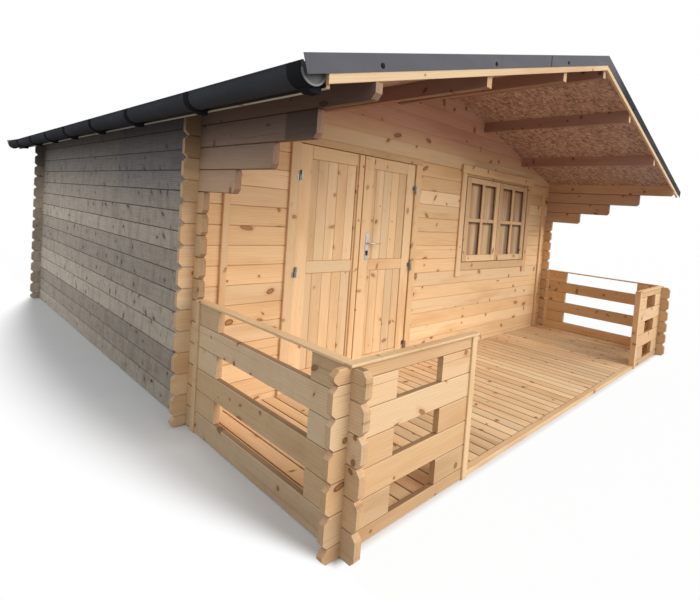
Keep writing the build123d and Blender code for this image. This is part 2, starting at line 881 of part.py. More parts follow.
with BuildPart() as handle_plate:
    slab(
        plate_x - plate_width * half_share, plate_x + plate_width * half_share,
        plate_front, leaf_front - seat, plate_bottom, plate_bottom + plate_height,
    )
finish("handle_plate", handle_plate)

with BuildPart() as handle_lever:
    lever_back = plate_front - seat
    lever_front = lever_back - lever_neck
    with BuildSketch(across(lever_back)):
        with Locations((plate_x, lever_height)):
            Circle(lever_radius)
    extrude(amount=lever_neck)
    slab(
        plate_x - lever_radius, plate_x + lever_length, lever_front, lever_front + lever_thick,
        lever_height - lever_height_across * half_share, lever_height + lever_height_across * half_share,
    )
finish("handle_lever", handle_lever)

# Window: a frame in the opening, two closed sashes and their glass
with BuildPart() as window_frame:
    frame_back = front_y + log_thick
    frame_top = wall_top_rise - seat
    frame_low = window_open_bottom + seat
    for side in (-1, 1):
        frame_out = window_middle_x + side * (window_open_half - seat)
        frame_in = window_middle_x + side * (window_open_half - window_frame_width)
        slab(min(frame_out, frame_in), max(frame_out, frame_in), front_y, frame_back, frame_low, frame_top)
    frame_left = window_middle_x - window_open_half + window_frame_width + seat
    frame_right = window_middle_x + window_open_half - window_frame_width - seat
    slab(frame_left, frame_right, front_y, frame_back, sash_top + seat, frame_top)
    slab(frame_left, frame_right, front_y, frame_back, frame_low, sash_bottom - seat)
finish("window_frame", window_frame)

sash_front = front_y - sash_proud
sash_back = sash_front + sash_thick
sash_spans = [
    (window_middle_x - moving_gap * half_share - sash_width + seat, window_middle_x - seat),
    (window_middle_x + seat, window_middle_x + moving_gap * half_share + sash_width - seat),
]

with BuildPart() as window_sashes:
    for x0, x1 in sash_spans:
        slab(x0, x1, sash_front, sash_back, sash_bottom, sash_top)
        slab(
            x0 + sash_stile, x1 - sash_stile, sash_front - overrun, sash_back + overrun,
            sash_bottom + sash_bottom_rail, sash_top - sash_top_rail, mode=Mode.SUBTRACT,
        )
finish("window_sashes", window_sashes)

with BuildPart() as window_glass:
    glass_y = (sash_front + sash_back) * half_share
    for x0, x1 in sash_spans:
        slab(
            x0 + sash_stile + seat, x1 - sash_stile - seat, glass_y - glass_thick * half_share,
            glass_y + glass_thick * half_share, sash_bottom + sash_bottom_rail + seat,
            sash_top - sash_top_rail - seat,
        )
finish("window_glass", window_glass)

# Trim boards around the window
with BuildPart() as window_trim:
    window_trim_in = sash_width + moving_gap * half_share + window_reveal
    window_trim_half = window_trim_in + trim_width
    for side in (-1, 1):
        trim_in = window_middle_x + side * window_trim_in
        trim_out = window_middle_x + side * window_trim_half
        slab(
            min(trim_in, trim_out), max(trim_in, trim_out), trim_front, trim_back,
            window_trim_foot, window_head_bottom,
        )
    head_half = window_trim_half + window_head_lip
    slab(
        window_middle_x - head_half, window_middle_x + head_half, front_y - window_head_thick, trim_back,
        window_head_bottom + seat, window_head_bottom + window_head_height,
    )
    board_half = window_trim_in - seat
    apron_top = sash_bottom - window_apron_drop
    slab(
        window_middle_x - board_half, window_middle_x + board_half, trim_front, trim_back,
        apron_top - window_apron_height, apron_top,
    )
finish("window_trim", window_trim)

# Upright battens that keep the front wall straight
with BuildPart() as storm_battens:
    slab(
        batten_inset - half_width, batten_inset + batten_width - half_width,
        front_y - batten_thick, trim_back, deck_top + seat, batten_top,
    )
    mirror(about=Plane.YZ)
finish("storm_battens", storm_battens)
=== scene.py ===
"""Log cabin with a veranda: its finishes, boards, doors, window and metalwork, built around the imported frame."""

import itertools
import math
import random

import bmesh
import bpy
from bpy.props import FloatProperty, FloatVectorProperty, PointerProperty
from mathutils import Matrix, Vector


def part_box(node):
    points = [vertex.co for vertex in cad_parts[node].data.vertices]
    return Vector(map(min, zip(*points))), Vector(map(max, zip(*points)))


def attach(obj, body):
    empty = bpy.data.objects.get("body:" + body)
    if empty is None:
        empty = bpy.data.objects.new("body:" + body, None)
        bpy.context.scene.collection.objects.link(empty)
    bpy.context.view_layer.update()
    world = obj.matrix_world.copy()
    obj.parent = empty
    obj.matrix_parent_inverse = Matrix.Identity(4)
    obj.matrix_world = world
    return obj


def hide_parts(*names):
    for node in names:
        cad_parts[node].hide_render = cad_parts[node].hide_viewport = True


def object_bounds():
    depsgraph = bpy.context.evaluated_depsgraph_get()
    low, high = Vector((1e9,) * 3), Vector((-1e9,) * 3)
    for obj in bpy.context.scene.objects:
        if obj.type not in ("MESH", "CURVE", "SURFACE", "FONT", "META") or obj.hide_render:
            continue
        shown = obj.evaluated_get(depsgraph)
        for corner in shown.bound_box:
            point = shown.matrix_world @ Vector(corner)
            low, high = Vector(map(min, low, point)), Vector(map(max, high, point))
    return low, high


bl_info = {
    "name": "Log Cabin",
    "version": (1, 0, 0),
    "blender": (4, 5, 0),
    "location": "3D View > Sidebar > Cabin",
    "description": "Finishes and small pieces of a log cabin with a veranda",
    "category": "Object",
}

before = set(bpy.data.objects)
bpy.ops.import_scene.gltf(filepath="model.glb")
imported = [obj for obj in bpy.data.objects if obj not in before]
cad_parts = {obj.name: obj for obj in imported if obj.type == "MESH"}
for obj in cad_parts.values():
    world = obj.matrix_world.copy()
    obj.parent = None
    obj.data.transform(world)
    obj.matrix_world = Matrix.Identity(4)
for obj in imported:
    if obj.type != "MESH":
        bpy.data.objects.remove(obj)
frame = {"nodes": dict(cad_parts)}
cad_box = [list(corner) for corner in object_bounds()]
nodes = frame["nodes"]

AXES = "XYZ"
BODY = "cabin"
ROOF_SLOPE = 0.304
WHITE = (1.0, 1.0, 1.0)
TO_FRONT, TO_BACK = (0.0, -1.0, 0.0), (0.0, 1.0, 0.0)
LIE_ALONG_Y = Matrix.Rotation(math.pi * 0.5, 4, "X")


# Sizes and colours that a user would change

def length(name, description, default):
    """A length in metres."""
    return FloatProperty(name=name, description=description, default=default, unit="LENGTH", subtype="DISTANCE")


def share(name, description, default):
    """A plain number."""
    return FloatProperty(name=name, description=description, default=default)


def colour(name, description, default):
    """A colour."""
    return FloatVectorProperty(
        name=name, description=description, default=default, size=3, min=0.0, max=1.0, subtype="COLOR"
    )


def way(name, description, default, subtype="DIRECTION"):
    """A direction or a place."""
    return FloatVectorProperty(name=name, description=description, default=default, subtype=subtype)


class CabinTimber(bpy.types.PropertyGroup):
    """Colours and sizes of the planed softwood and the roof boards."""

    honey: colour("Honey", "Fresh planed wood", (0.83, 0.545, 0.29))
    amber: colour("Amber", "Darker bands of the grain", (0.66, 0.37, 0.165))
    cream: colour("Cream", "The palest boards", (0.90, 0.68, 0.43))
    heart: colour("Heart", "Body of a knot", (0.42, 0.18, 0.07))
    knot: colour("Knot", "Dark edge of a knot", (0.13, 0.055, 0.025))
    seam: colour("Seam", "Shaded joint between two logs or boards", (0.17, 0.085, 0.04))
    weathered: colour("Weathered", "Greyed outer faces", (0.47, 0.405, 0.335))
    stain: colour("Stain", "Dark marks on greyed faces", (0.24, 0.19, 0.145))
    worn_knot: colour("Worn knot", "Knots on greyed faces", (0.04, 0.032, 0.026))
    worn_seam: colour("Worn seam", "Joints between greyed logs", (0.055, 0.048, 0.042))
    # Painted shade: the dark colour of the outer faces under the eaves.
    soot: colour("Soot", "Outer faces under the eaves", (0.03, 0.028, 0.026))
    # A dark patch painted on the front of the left eaves log.
    damp: colour("Damp", "Dark patch on the front of the left eaves log", (0.035, 0.022, 0.016))
    end_light: colour("End light", "Pale rings on a sawn end", (0.66, 0.43, 0.235))
    end_dark: colour("End dark", "Dark rings on a sawn end", (0.36, 0.19, 0.09))
    glue: colour("Glue", "Ground of the pressed boards", (0.48, 0.295, 0.16))
    strand_light: colour("Pale strand", "Pale strands of the pressed boards", (0.76, 0.50, 0.27))
    strand_dark: colour("Dark strand", "Dark strands of the pressed boards", (0.17, 0.085, 0.045))
    fleck: colour("Fleck", "Fine flecks of the pressed boards", (0.38, 0.20, 0.09))
    row: length("Log row", "Height of one row of logs", 0.135)
    knot_cell: length("Knot spacing", "Mean distance between knots", 0.15)
    ring: length("Ring spacing", "Mean width of a growth ring", 0.011)


class CabinBoards(bpy.types.PropertyGroup):
    """Sizes of the boards that the solids leave plain."""

    deck_width: length("Deck board", "Width of a deck board", 0.088)
    deck_gap: length("Deck gap", "Gap between deck boards", 0.0065)
    floor_width: length("Floor board", "Width of a floor board", 0.11)
    floor_gap: length("Floor gap", "Joint between floor boards", 0.0015)
    ease: length("Eased edge", "Chamfer on the edges of boards", 0.003)
    wander: length("Wander", "How far the ends of deck boards differ", 0.003)
    stile: length("Door stile", "Width of the upright edges of a door leaf", 0.103)
    meeting_stile: length("Meeting stile", "Width of the left leaf's edge under the meeting strip", 0.078)
    top_rail_low: length("Top rail foot", "Height of the top rail's lower edge", 1.806)
    mid_rail_low: length("Middle rail foot", "Height of the middle rail's lower edge", 0.934)
    mid_rail_high: length("Middle rail head", "Height of the middle rail's upper edge", 1.027)
    bottom_rail: length("Door bottom rail", "Height of the bottom rail of a leaf", 0.13)
    panel_recess: length("Panel recess", "How far the door boards lie behind the stiles", 0.009)
    panel_board: length("Door board", "Width of a board in a door panel", 0.0935)
    groove: length("Door groove", "Chamfer between two boards of a door panel", 0.0048)
    # Painted shade: width of the dark strip in the gap round each sash.
    seal: length("Window seal", "Width of the dark seal round a sash", 0.006)
    cap_thick: length("Handrail cap", "Thickness of the handrail boards", 0.013)
    cap_width: length("Handrail width", "Width of the handrail boards", 0.052)
    fascia_low: length("Fascia foot", "Height of the lower edge of the board behind the gutter", 1.881)
    fascia_thick: length("Fascia", "Thickness of the board behind the gutter", 0.018)
    bar: length("Upright bar", "Width of an upright window bar", 0.048)
    level_bar: length("Level bar", "Height of a level window bar", 0.039)
    level_bar_at: length("Level bar height", "Height of the middle of the level window bars", 1.43)
    sash: length("Sash stile", "Width of a sash's upright edge", 0.075)
    sash_head: length("Sash head", "Height of a sash's top edge", 0.057)
    sash_foot: length("Sash foot", "Height of a sash's bottom edge", 0.07)


class CabinMetal(bpy.types.PropertyGroup):
    """Colours of the metalwork."""

    sheet: colour("Roof sheet", "Coated roof sheets", (0.035, 0.037, 0.042))
    flashing: colour("Flashing", "Coated verge flashings", (0.105, 0.104, 0.118))
    gutter: colour("Gutter", "Coated gutter and clips", (0.058, 0.059, 0.068))
    cap: colour("Gutter cap", "Coated end caps of the gutter", (0.115, 0.113, 0.115))
    steel: colour("Steel", "Zinc plated hinges and screws", (0.33, 0.33, 0.32))
    handle: colour("Handle", "Brushed handle and plate", (0.50, 0.49, 0.47))
    keyway: colour("Keyway", "Dark lock barrel", (0.012, 0.012, 0.012))
    # Painted shade: colour of the dark strips in the gaps round and between the sashes.
    rubber: colour("Seal", "Brown seals of the window", (0.24, 0.125, 0.065))


class CabinStage(bpy.types.PropertyGroup):
    """The camera, the light and the floor."""

    eye: way("Eye", "Place of the camera", (-3.60523, -4.56157, 1.45252), "TRANSLATION")
    ahead: way("Ahead", "Direction of view", (0.75784, 0.65072, -0.04739))
    right: way("Right", "Direction to the right of the picture", (0.65227, -0.75400, 0.07763))
    lens: share("Lens", "Focal length in millimetres", 23.6245)
    sensor: share("Sensor", "Width of the picture in the camera, in millimetres", 36.0)
    shift_x: share("Shift across", "Framing across", -0.1119)
    shift_y: share("Shift up", "Framing up", -0.0906)
    sky: share("Sky", "Strength of the even light from all round", 0.78)
    sky_tint: colour("Sky tint", "Colour of the even light", (0.93, 0.97, 1.0))
    sun: share("Sun", "Strength of the soft light from the front right", 2.5)
    sun_tint: colour("Sun tint", "Colour of the soft light", (1.0, 0.97, 0.93))
    sun_spread: share("Sun spread", "Width of the soft light in degrees", 50.0)
    sun_way: way("Sun way", "Direction in which the soft light falls", (-0.45, 1.0, -0.63))
    floor: colour("Floor", "Pale floor", (0.78, 0.78, 0.78))
    floor_bounce: colour("Floor bounce", "What the floor throws back on the cabin", (0.30, 0.29, 0.28))
    floor_size: length("Floor size", "Half the side of the floor", 40.0)


# Finishes

def node_sum(operation, swapped=False):
    """A method that turns a sum on a value into a math node."""
    def method(self, other=0.0):
        return self.nodes.math(operation, *((other, self) if swapped else (self, other)))
    return method


class Value:
    """An output in a shader tree. A sum that is written on it becomes a math node."""

    def __init__(self, nodes, socket):
        self.nodes, self.socket = nodes, socket

    __add__, __mul__ = node_sum("ADD"), node_sum("MULTIPLY")
    __sub__, __rsub__ = node_sum("SUBTRACT"), node_sum("SUBTRACT", swapped=True)
    __truediv__, __mod__, __pow__ = node_sum("DIVIDE"), node_sum("MODULO"), node_sum("POWER")
    __gt__, __lt__ = node_sum("GREATER_THAN"), node_sum("LESS_THAN")
    __abs__, floor, fract = node_sum("ABSOLUTE"), node_sum("FLOOR"), node_sum("FRACT")
    sine, root = node_sum("SINE"), node_sum("SQRT")
    most, least = node_sum("MAXIMUM"), node_sum("MINIMUM")


class Nodes:
    """A shader tree, written a few nodes at a time."""

    def __init__(self, tree):
        self.tree = tree
        tree.nodes.clear()

    def add(self, kind, inputs=None, **settings):
        """A new node with its settings and inputs."""
        node = self.tree.nodes.new(kind)
        for key, value in settings.items():
            setattr(node, key, value)
        for key, value in (inputs or {}).items():
            self.put(node.inputs[key], value)
        return node

    def put(self, socket, value):
        """Link a socket to a value of the tree, or give it a fixed one."""
        if isinstance(value, Value):
            self.tree.links.new(value.socket, socket)
        else:
            socket.default_value = value

    def made(self, kind, inputs=None, out=0, **settings):
        """One output of a new node."""
        return Value(self, self.add(kind, inputs, **settings).outputs[out])

    def math(self, operation, a, b):
        """One sum."""
        return self.made("ShaderNodeMath", {0: a, 1: b}, operation=operation)

    def axes(self, vector):
        """The three parts of a vector."""
        return [Value(self, part) for part in self.add("ShaderNodeSeparateXYZ", {0: vector}).outputs]

    def vector(self, x, y, z=0.0):
        """A vector from three parts."""
        return self.made("ShaderNodeCombineXYZ", {0: x, 1: y, 2: z})

    def stretched(self, parts, scales):
        """A vector with each part scaled by itself."""
        return self.vector(*[part * scale for part, scale in zip(parts, scales)])

    def noise(self, vector, scale=1.0, detail=2.0, rough=0.5):
        """Cloudy noise from 0 to 1."""
        return self.made("ShaderNodeTexNoise", {"Vector": vector, "Scale": scale, "Detail": detail, "Roughness": rough})

    def cells(self, vector):
        """Distance to the nearest of scattered points, that point's own colour and its place."""
        node = self.add("ShaderNodeTexVoronoi", {"Vector": vector, "Scale": 1.0}, voronoi_dimensions="2D")
        return [Value(self, node.outputs[key]) for key in ("Distance", "Color", "Position")]

    def chance(self, value):
        """Three even random numbers that belong to a number."""
        return self.axes(self.made("ShaderNodeTexWhiteNoise", {"W": value}, out="Color", noise_dimensions="1D"))

    def span(self, value, low, high, to_low=0.0, to_high=1.0):
        """A soft step between two values."""
        given = dict(enumerate((value, low, high, to_low, to_high)))
        return self.made("ShaderNodeMapRange", given, interpolation_type="SMOOTHSTEP")

    def mix(self, amount, a, b, blend="MIX"):
        """Two colours mixed."""
        a, b = (tint if isinstance(tint, Value) else (*tint, 1.0) for tint in (a, b))
        return self.made(
            "ShaderNodeMix", {0: amount, 6: a, 7: b}, out=2, data_type="RGBA", blend_type=blend, clamp_factor=True
        )

    def times(self, base, amount):
        """A colour made lighter or darker."""
        return self.mix(1.0, base, self.vector(amount, amount, amount), "MULTIPLY")

    def seen(self):
        """1 for what is seen, also through glass or in a shine, and 0 for light that bounces on."""
        rays = self.add("ShaderNodeLightPath").outputs
        straight, shine, through = (
            Value(self, rays["Is %s Ray" % kind]) for kind in ("Camera", "Glossy", "Transmission")
        )
        return straight.most(shine).most(through)


class Finish(Nodes):
    """The shader tree of one finish."""

    def __init__(self, name):
        self.material = bpy.data.materials.new(name)
        self.material.use_nodes = True
        super().__init__(self.material.node_tree)
        self.shader = self.add("ShaderNodeBsdfPrincipled")
        self.surface = self.add("ShaderNodeOutputMaterial", {"Surface": Value(self, self.shader.outputs[0])}).inputs[0]
        self.place = self.made("ShaderNodeTexCoord", out="Object")
        self.parts = self.axes(self.place)

    def cloud(self, *scales, detail=2.0, rough=0.5):
        """Noise that is drawn out along its parts."""
        return self.noise(self.stretched(self.parts, scales), detail=detail, rough=rough)

    def carried(self, name, out):
        """A value that the piece's own mesh carries."""
        return self.made("ShaderNodeAttribute", out=out, attribute_name=name)

    def bump(self, height, strength, distance):
        """Small relief from a height."""
        relief = {"Strength": strength, "Distance": distance, "Height": height}
        self.put(self.shader.inputs["Normal"], self.made("ShaderNodeBump", relief))

    def finish(self, base, rough, metallic=0.0, shine=0.5):
        """Give the shader its colour and sheen."""
        for key, value in (
            ("Base Color", base), ("Roughness", rough), ("Metallic", metallic), ("Specular IOR Level", shine),
        ):
            self.put(self.shader.inputs[key], value)
        return self.material


class Timber(Finish):
    """Planed softwood in rows. grain names the axes along, across and through it, or else the mesh carries them."""

    board_spread, side_step, own_step = 23.0, 31.0, 977.0
    split_thin, split_wide = 0.0006, 0.0019
    skin_deep, skin_thin = 0.024, 0.016
    porch_fade = 0.15
    saw_ring = 0.006

    def __init__(self, name, grain, row_axis, row, start, slope):
        super().__init__(name)
        self.wood = bpy.context.scene.cabin_timber
        self.row = row or self.wood.row
        if grain:
            self.part = dict(zip(AXES, self.parts))
            facing = dict(zip(AXES, self.axes(self.made("ShaderNodeNewGeometry", out="True Normal"))))
            along, across, through = (self.part[axis] for axis in grain)
            if slope:
                across = abs(along) * slope + across
            level = (self.part[row_axis or grain[1]] - start) / self.row
            side = (through * 0.5).floor()
            self.luck = self.chance(side * self.side_step + level.floor())
            self.end = self.span(abs(facing[grain[0]]), 0.45, 0.6)
            self.within = level.fract()
        else:
            along, across, through = self.axes(self.carried("grain", "Vector"))
            self.luck = self.chance(self.carried("tone", "Fac") * self.own_step)
            self.end = self.carried("cut", "Fac")
            self.within = None
        self.parts = [self.luck[0] * self.board_spread + along, across, through]

    def knot(self, amount, cell):
        """How far a place lies in a knot, in its soft surround and on its dark rim."""
        spot = self.stretched(self.parts[:2], (1.0 / cell, 1.0 / cell))
        _, picked, middle = self.cells(spot)
        pick, size, twist = self.axes(picked)
        there = pick > 1.0 - amount
        offset = self.made("ShaderNodeVectorMath", {0: spot, 1: middle}, operation="SUBTRACT")
        turned = self.made(
            "ShaderNodeVectorRotate", {"Vector": offset, "Angle": twist * math.pi}, rotation_type="Z_AXIS"
        )
        lengthwise, crosswise, _ = self.axes(turned)
        lengthwise = lengthwise * self.span(pick, 1.0 - amount, 1.0, 1.0, 0.38)
        ratio = (lengthwise ** 2.0 + crosswise ** 2.0).root() / self.span(size, 0.0, 1.0, 0.03, 0.09)
        core = self.span(ratio, 0.75, 1.1, 1.0, 0.0) * there
        halo = self.span(ratio, 0.8, 3.6, 1.0, 0.0) * there
        rim = self.span(abs(ratio - 0.92), 0.0, 0.3, 1.0, 0.0) * (there * (twist * 0.5 + 0.45))
        return core, halo, rim

    def split(self):
        """Thin drying splits along some of the rows."""
        line = self.luck[2] * 0.5 + (self.cloud(1.8, 0.0, 0.0, detail=3.0) * 0.12 + 0.2)
        apart = abs(self.within - line) * self.row
        reach = self.span(self.cloud(0.55, 0.0, 0.0, detail=1.0), 0.5, 0.58)
        return self.span(apart, self.split_thin, self.split_wide, 1.0, 0.0) * reach * (self.luck[1] > 0.35)

    def weather(self, base, worn, dark, core, halo):
        """The colour with its outer faces greyed, with painted shade under the eaves and a dark patch painted on the
        left eaves log, and how grey it is.
        """
        wood = self.wood
        x, y, z = (self.part[axis] for axis in AXES)
        outside = -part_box("left_wall_logs")[0].x
        front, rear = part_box("front_gable_logs")[1].y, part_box("back_gable_logs")[1].y
        flank = self.span(abs(x), outside - self.skin_deep, outside - self.skin_thin)
        behind = flank * self.span(y, front, front + self.porch_fade, 0.15, 1.0)
        amount = behind.most(self.span(y, rear - self.skin_deep, rear - self.skin_thin))
        streaks = self.cloud(1.6, 26.0, 26.0, detail=3.0)
        amount = amount * worn * self.span(streaks, 0.0, 0.5, 0.8, 0.98)
        stains = self.cloud(9.0, 2.2, 2.2)
        blots = self.cloud(24.0, 13.0, 13.0, detail=4.0, rough=0.65)
        grey = self.mix(self.span(stains, 0.45, 0.75, 0.0, 0.55), wood.weathered, wood.stain)
        for mark in (self.span(blots, 0.48, 0.72, 0.0, 0.7), dark * 0.9, halo * 0.5):
            grey = self.mix(mark, grey, wood.stain)
        grey = self.mix(core * 0.95, grey, wood.worn_knot)
        tone = self.luck[1] * 0.5 + 0.72
        # The greyed faces get darker towards the front and lighter towards the back.
        grey = self.times(grey, tone * self.span(y, front + 0.6, rear - 0.5, 0.98, 1.42))
        base = self.mix(amount.least(1.0), base, grey)
        past = self.span(y, front, front + self.porch_fade)
        # Painted shade under the eaves: outer faces darken towards the top, starting lower and going darker along the
        # wall than in front of it.
        soot = self.span(z, past * -0.28 + 1.52, 1.9) * (past * 0.12 + 0.68)
        base = self.mix(soot * flank, base, wood.soot)
        # A dark patch painted on the front end of the left eaves log.
        patch = self.span(z, 1.754, 1.762) * self.span(z, 1.886, 1.892, 1.0, 0.0)
        patch = patch * self.span(y, -2.56, -2.535, 0.55, 0.0) * (flank * (x < 0.0))
        return self.mix(patch, base, wood.damp), amount

    def sawn(self, tone, sway, shade):
        """The rings of a sawn end."""
        across, through = self.parts[1:]
        wide = ((across * (1.0 / self.row)).fract() - 0.5) * self.row
        deep = through.fract() * 0.25 + (self.luck[1] * 0.09 + 0.02)
        reach = (wide ** 2.0 + deep ** 2.0).root()
        rings = ((sway * 0.01 + reach) * (math.tau / self.saw_ring)).sine()
        return self.mix(rings * 0.09 + shade, toned(self.wood.end_light, tone), toned(self.wood.end_dark, tone))


def toned(tint, amount):
    """A fixed colour made lighter or darker."""
    return [value * amount for value in tint]


def timber(name, grain=None, row_axis=None, row=None, start=0.0, slope=0.0, worn=0.0, pale=0.0, knots=0.5, cell=None,
           joint=0.0, seam=0.7, tint=None, spread=0.27, sawn_share=0.6, sawn_tone=1.0, dim=None,
           dim_tone=(0.84, 0.71, 0.92)):
    """Softwood with its knots, rings, splits, wear, painted shade under the eaves, sawn ends, joints and painted shade
    under the roof.
    """
    f = Timber(name, grain, row_axis, row, start, slope)
    wood, luck = f.wood, f.luck
    core, halo, rim = f.knot(knots, cell or wood.knot_cell)

    sway = f.cloud(0.9, 5.0, 5.0, detail=1.5)
    phase = halo * 1.4 + (sway * 7.0 + f.parts[1] / wood.ring)
    bands = ((phase * math.tau).sine() * 0.5 + 0.5) ** 2.2
    fibres = f.cloud(4.0, 190.0, 190.0, detail=3.0, rough=0.6)
    clouds = f.cloud(1.3, 7.0, 3.0)
    dark = bands * 0.5 + (fibres * 1.7 - 0.85)

    base = f.mix(dark, wood.honey, wood.amber)
    base = f.mix(luck[1] * luck[1] * 0.75 + pale, base, f.mix(dark, wood.cream, wood.honey))
    base = f.mix(f.span(clouds, 0.48, 0.75, 0.0, 0.6), base, wood.amber)
    base = f.mix(halo ** 2.0 * 0.5, base, wood.amber)
    base = f.mix(core * 0.9, base, wood.heart)
    base = f.mix(rim, base, wood.knot)
    height = fibres * 0.5 + bands * 0.35
    if f.within:
        split = f.split()
        base = f.mix(split * 0.75, base, wood.heart)
        height = height - split * 1.6
    base = f.times(base, luck[2] * spread + (1.06 - spread))

    gap = wood.seam
    if worn:
        base, grey = f.weather(base, worn, dark, core, halo)
        gap = f.mix(grey, wood.seam, wood.worn_seam)
    base = f.mix(f.end * sawn_share, base, f.sawn(sawn_tone, sway, fibres * 0.5 + clouds * 0.4))
    if joint:
        edge = f.within.least(1.0 - f.within) * f.row
        base = f.mix(f.span(edge, joint * 0.3, joint, seam, 0.0), base, gap)
    if tint:
        base = f.mix(1.0 - f.end, base, tint, "MULTIPLY")
    # Painted shade under the roof: on the front half, the colour darkens between the two heights in dim by the given
    # tone.
    if dim:
        under_roof = f.span(f.part["Z"], *dim) * (f.part["Y"] < 0.0)
        base = f.mix(under_roof, base, dim_tone, "MULTIPLY")
    f.bump(height, 0.35, 0.0016)
    return f.finish(base, f.span(fibres, 0.2, 0.8, 0.56, 0.72), shine=0.3)


def strand_board(name):
    """Pressed board of glued wood strands that lie in all directions."""
    f = Finish(name)
    wood = bpy.context.scene.cabin_timber
    x, y, _ = f.parts
    base, height = wood.glue, 0.0
    for turn, shift in ((0.3, 0.0), (1.0, 3.1), (1.7, 7.7), (2.3, 1.3), (2.9, 5.9)):
        c, s = math.cos(turn), math.sin(turn)
        near, picked, _ = f.cells(f.stretched((x * c + (y * s + shift), y * c - x * s), (15.0, 50.0)))
        tone, lot, _ = f.axes(picked)
        laid = (lot > 0.55) * f.span(near, 0.35, 0.5, 1.0, 0.0)
        base = f.mix(laid * 0.92, base, f.mix(tone, wood.strand_light, wood.strand_dark))
        height = tone * laid + height
    fine = f.cloud(40.0, 40.0, 40.0, detail=3.0)
    base = f.mix(f.span(fine, 0.35, 0.8, 0.0, 0.3), base, wood.fleck)
    base = f.mix(1.0, base, (0.9, 0.95, 1.4), "MULTIPLY")
    f.bump(height, 0.4, 0.002)
    return f.finish(base, f.span(fine, 0.2, 0.8, 0.6, 0.8))


def coated_metal(name, tint, rough, dust, shine=0.25, laps=(), right_share=1.0):
    """Painted sheet metal with a fine grain, a little dust and faint runs; laps are joints across X; the part right of
    x = 0 gets painted shade.
    """
    f = Finish(name)
    x = f.parts[0]
    grain = f.noise(f.place, scale=900.0, detail=1.0)
    dull = f.cloud(2.5, 2.5, 9.0, detail=3.0)
    runs = f.cloud(30.0, 30.0, 1.5)
    light = [min(1.0, value * 1.5 + 0.02) for value in tint]
    base = f.mix(f.span(dull, 0.4, 0.75, 0.0, dust), tint, light)
    base = f.mix(f.span(runs, 0.55, 0.8, 0.0, dust * 0.6), base, toned(tint, 0.6))
    base = f.mix(f.span(grain, 0.4, 0.8, 0.0, 0.15), base, light)
    f.bump(grain * 0.3 + dull, 0.08, 0.001)
    for lap in laps:
        base = f.mix(f.span(abs(x - lap), 0.004, 0.008, 0.9, 0.0), base, toned(tint, 0.12))
    # Painted shade: right of x = 0 the colour darkens, down to the given share from x = 0.5 on.
    if right_share < 1.0:
        base = f.times(base, f.span(x, 0.0, 0.5, 1.0, right_share))
    return f.finish(base, f.span(dull, 0.3, 0.7, rough - 0.06, rough + 0.08), shine=shine)


def bare_metal(name, tint, rough):
    """Plated or brushed metal with fine scratches."""
    f = Finish(name)
    brush = f.cloud(900.0, 900.0, 45.0)
    spots = f.noise(f.place, scale=55.0, detail=3.0)
    base = f.mix(f.span(spots, 0.45, 0.8, 0.0, 0.45), tint, toned(tint, 0.62))
    f.bump(brush, 0.06, 0.0004)
    return f.finish(base, f.span(brush, 0.25, 0.75, rough - 0.08, rough + 0.1), metallic=1.0)


def window_pane(name):
    """Glass painted tan with fine upright streaks, with painted shade of the bars on its right and under its head."""
    sizes = bpy.context.scene.cabin_boards
    f = Finish(name)
    x, _, z = f.parts
    (first, first_end), (second, _) = loose_boxes("window_sashes")
    clear = (first_end.x - first.x - sizes.sash * 2.0 - sizes.bar) * 0.5
    inside = (x > second.x) * (first.x - second.x) + (x - (first.x + sizes.sash))
    over = inside % (clear + sizes.bar) / clear
    bar_foot, head = sizes.level_bar_at - sizes.level_bar * 0.5, first_end.z - sizes.sash_head
    down = (z < bar_foot) * (bar_foot - head) + head - z
    soft = f.cloud(9.0, 1.0, 0.9, detail=3.0)
    fine = f.cloud(55.0, 1.0, 2.6, detail=4.0, rough=0.65)
    base = f.mix(f.span(soft, 0.35, 0.7), (0.80, 0.57, 0.35), (0.50, 0.31, 0.18))
    # The first row streaks the tan; the others are painted shade: the darker right half of each pane, a near-black band
    # at its right edge, a dark line at its left edge and a band under the sash head and the level bar.
    for value, low, high, to_low, to_high, shade in (
        (fine, 0.45, 0.75, 0.0, 0.5, (0.32, 0.185, 0.10)),
        ((soft - 0.5) * 0.35 + over, 0.5, 0.74, 0.0, 0.75, (0.20, 0.105, 0.06)),
        (over, 0.8, 0.95, 0.0, 0.85, (0.035, 0.018, 0.012)),
        (over, 0.0, 0.08, 0.6, 0.0, (0.1, 0.055, 0.03)),
        (down, 0.012, 0.04, 0.8, 0.0, (0.05, 0.026, 0.016)),
    ):
        base = f.mix(f.span(value, low, high, to_low, to_high), base, shade)
    f.shader.inputs["Transmission Weight"].default_value = 0.06
    f.shader.inputs["IOR"].default_value = 1.45
    return f.finish(base, f.span(fine, 0.2, 0.8, 0.08, 0.16), shine=0.06)


finishes = {}


def finish_of(name, maker, *given, **named):
    """A finish by name, made once."""
    if name not in finishes:
        finishes[name] = maker(name, *given, **named)
    return finishes[name]


def board_finish():
    """Softwood whose grain the boards carry themselves."""
    return finish_of("board_softwood", timber, knots=0.42)


def dress(material, *names):
    """Give a finish to whole solids."""
    for name in names:
        mesh = nodes[name].data
        mesh.materials.clear()
        mesh.materials.append(material)


# Building helpers

def settle(piece, body, slot, *replaced):
    """Hand a finished piece to the frame."""
    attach(piece, body)
    if replaced:
        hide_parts(*replaced)


def piece_from(name, mesh, *materials):
    """A new object at the origin with its finishes."""
    made = bpy.data.objects.new(name, mesh)
    bpy.context.scene.collection.objects.link(made)
    for material in materials:
        mesh.materials.append(material)
    return made


def shaped(name, bm, *materials):
    """A new object from a mesh under construction."""
    bmesh.ops.recalc_face_normals(bm, faces=bm.faces)
    mesh = bpy.data.meshes.new(name)
    bm.to_mesh(mesh)
    bm.free()
    return piece_from(name, mesh, *materials)


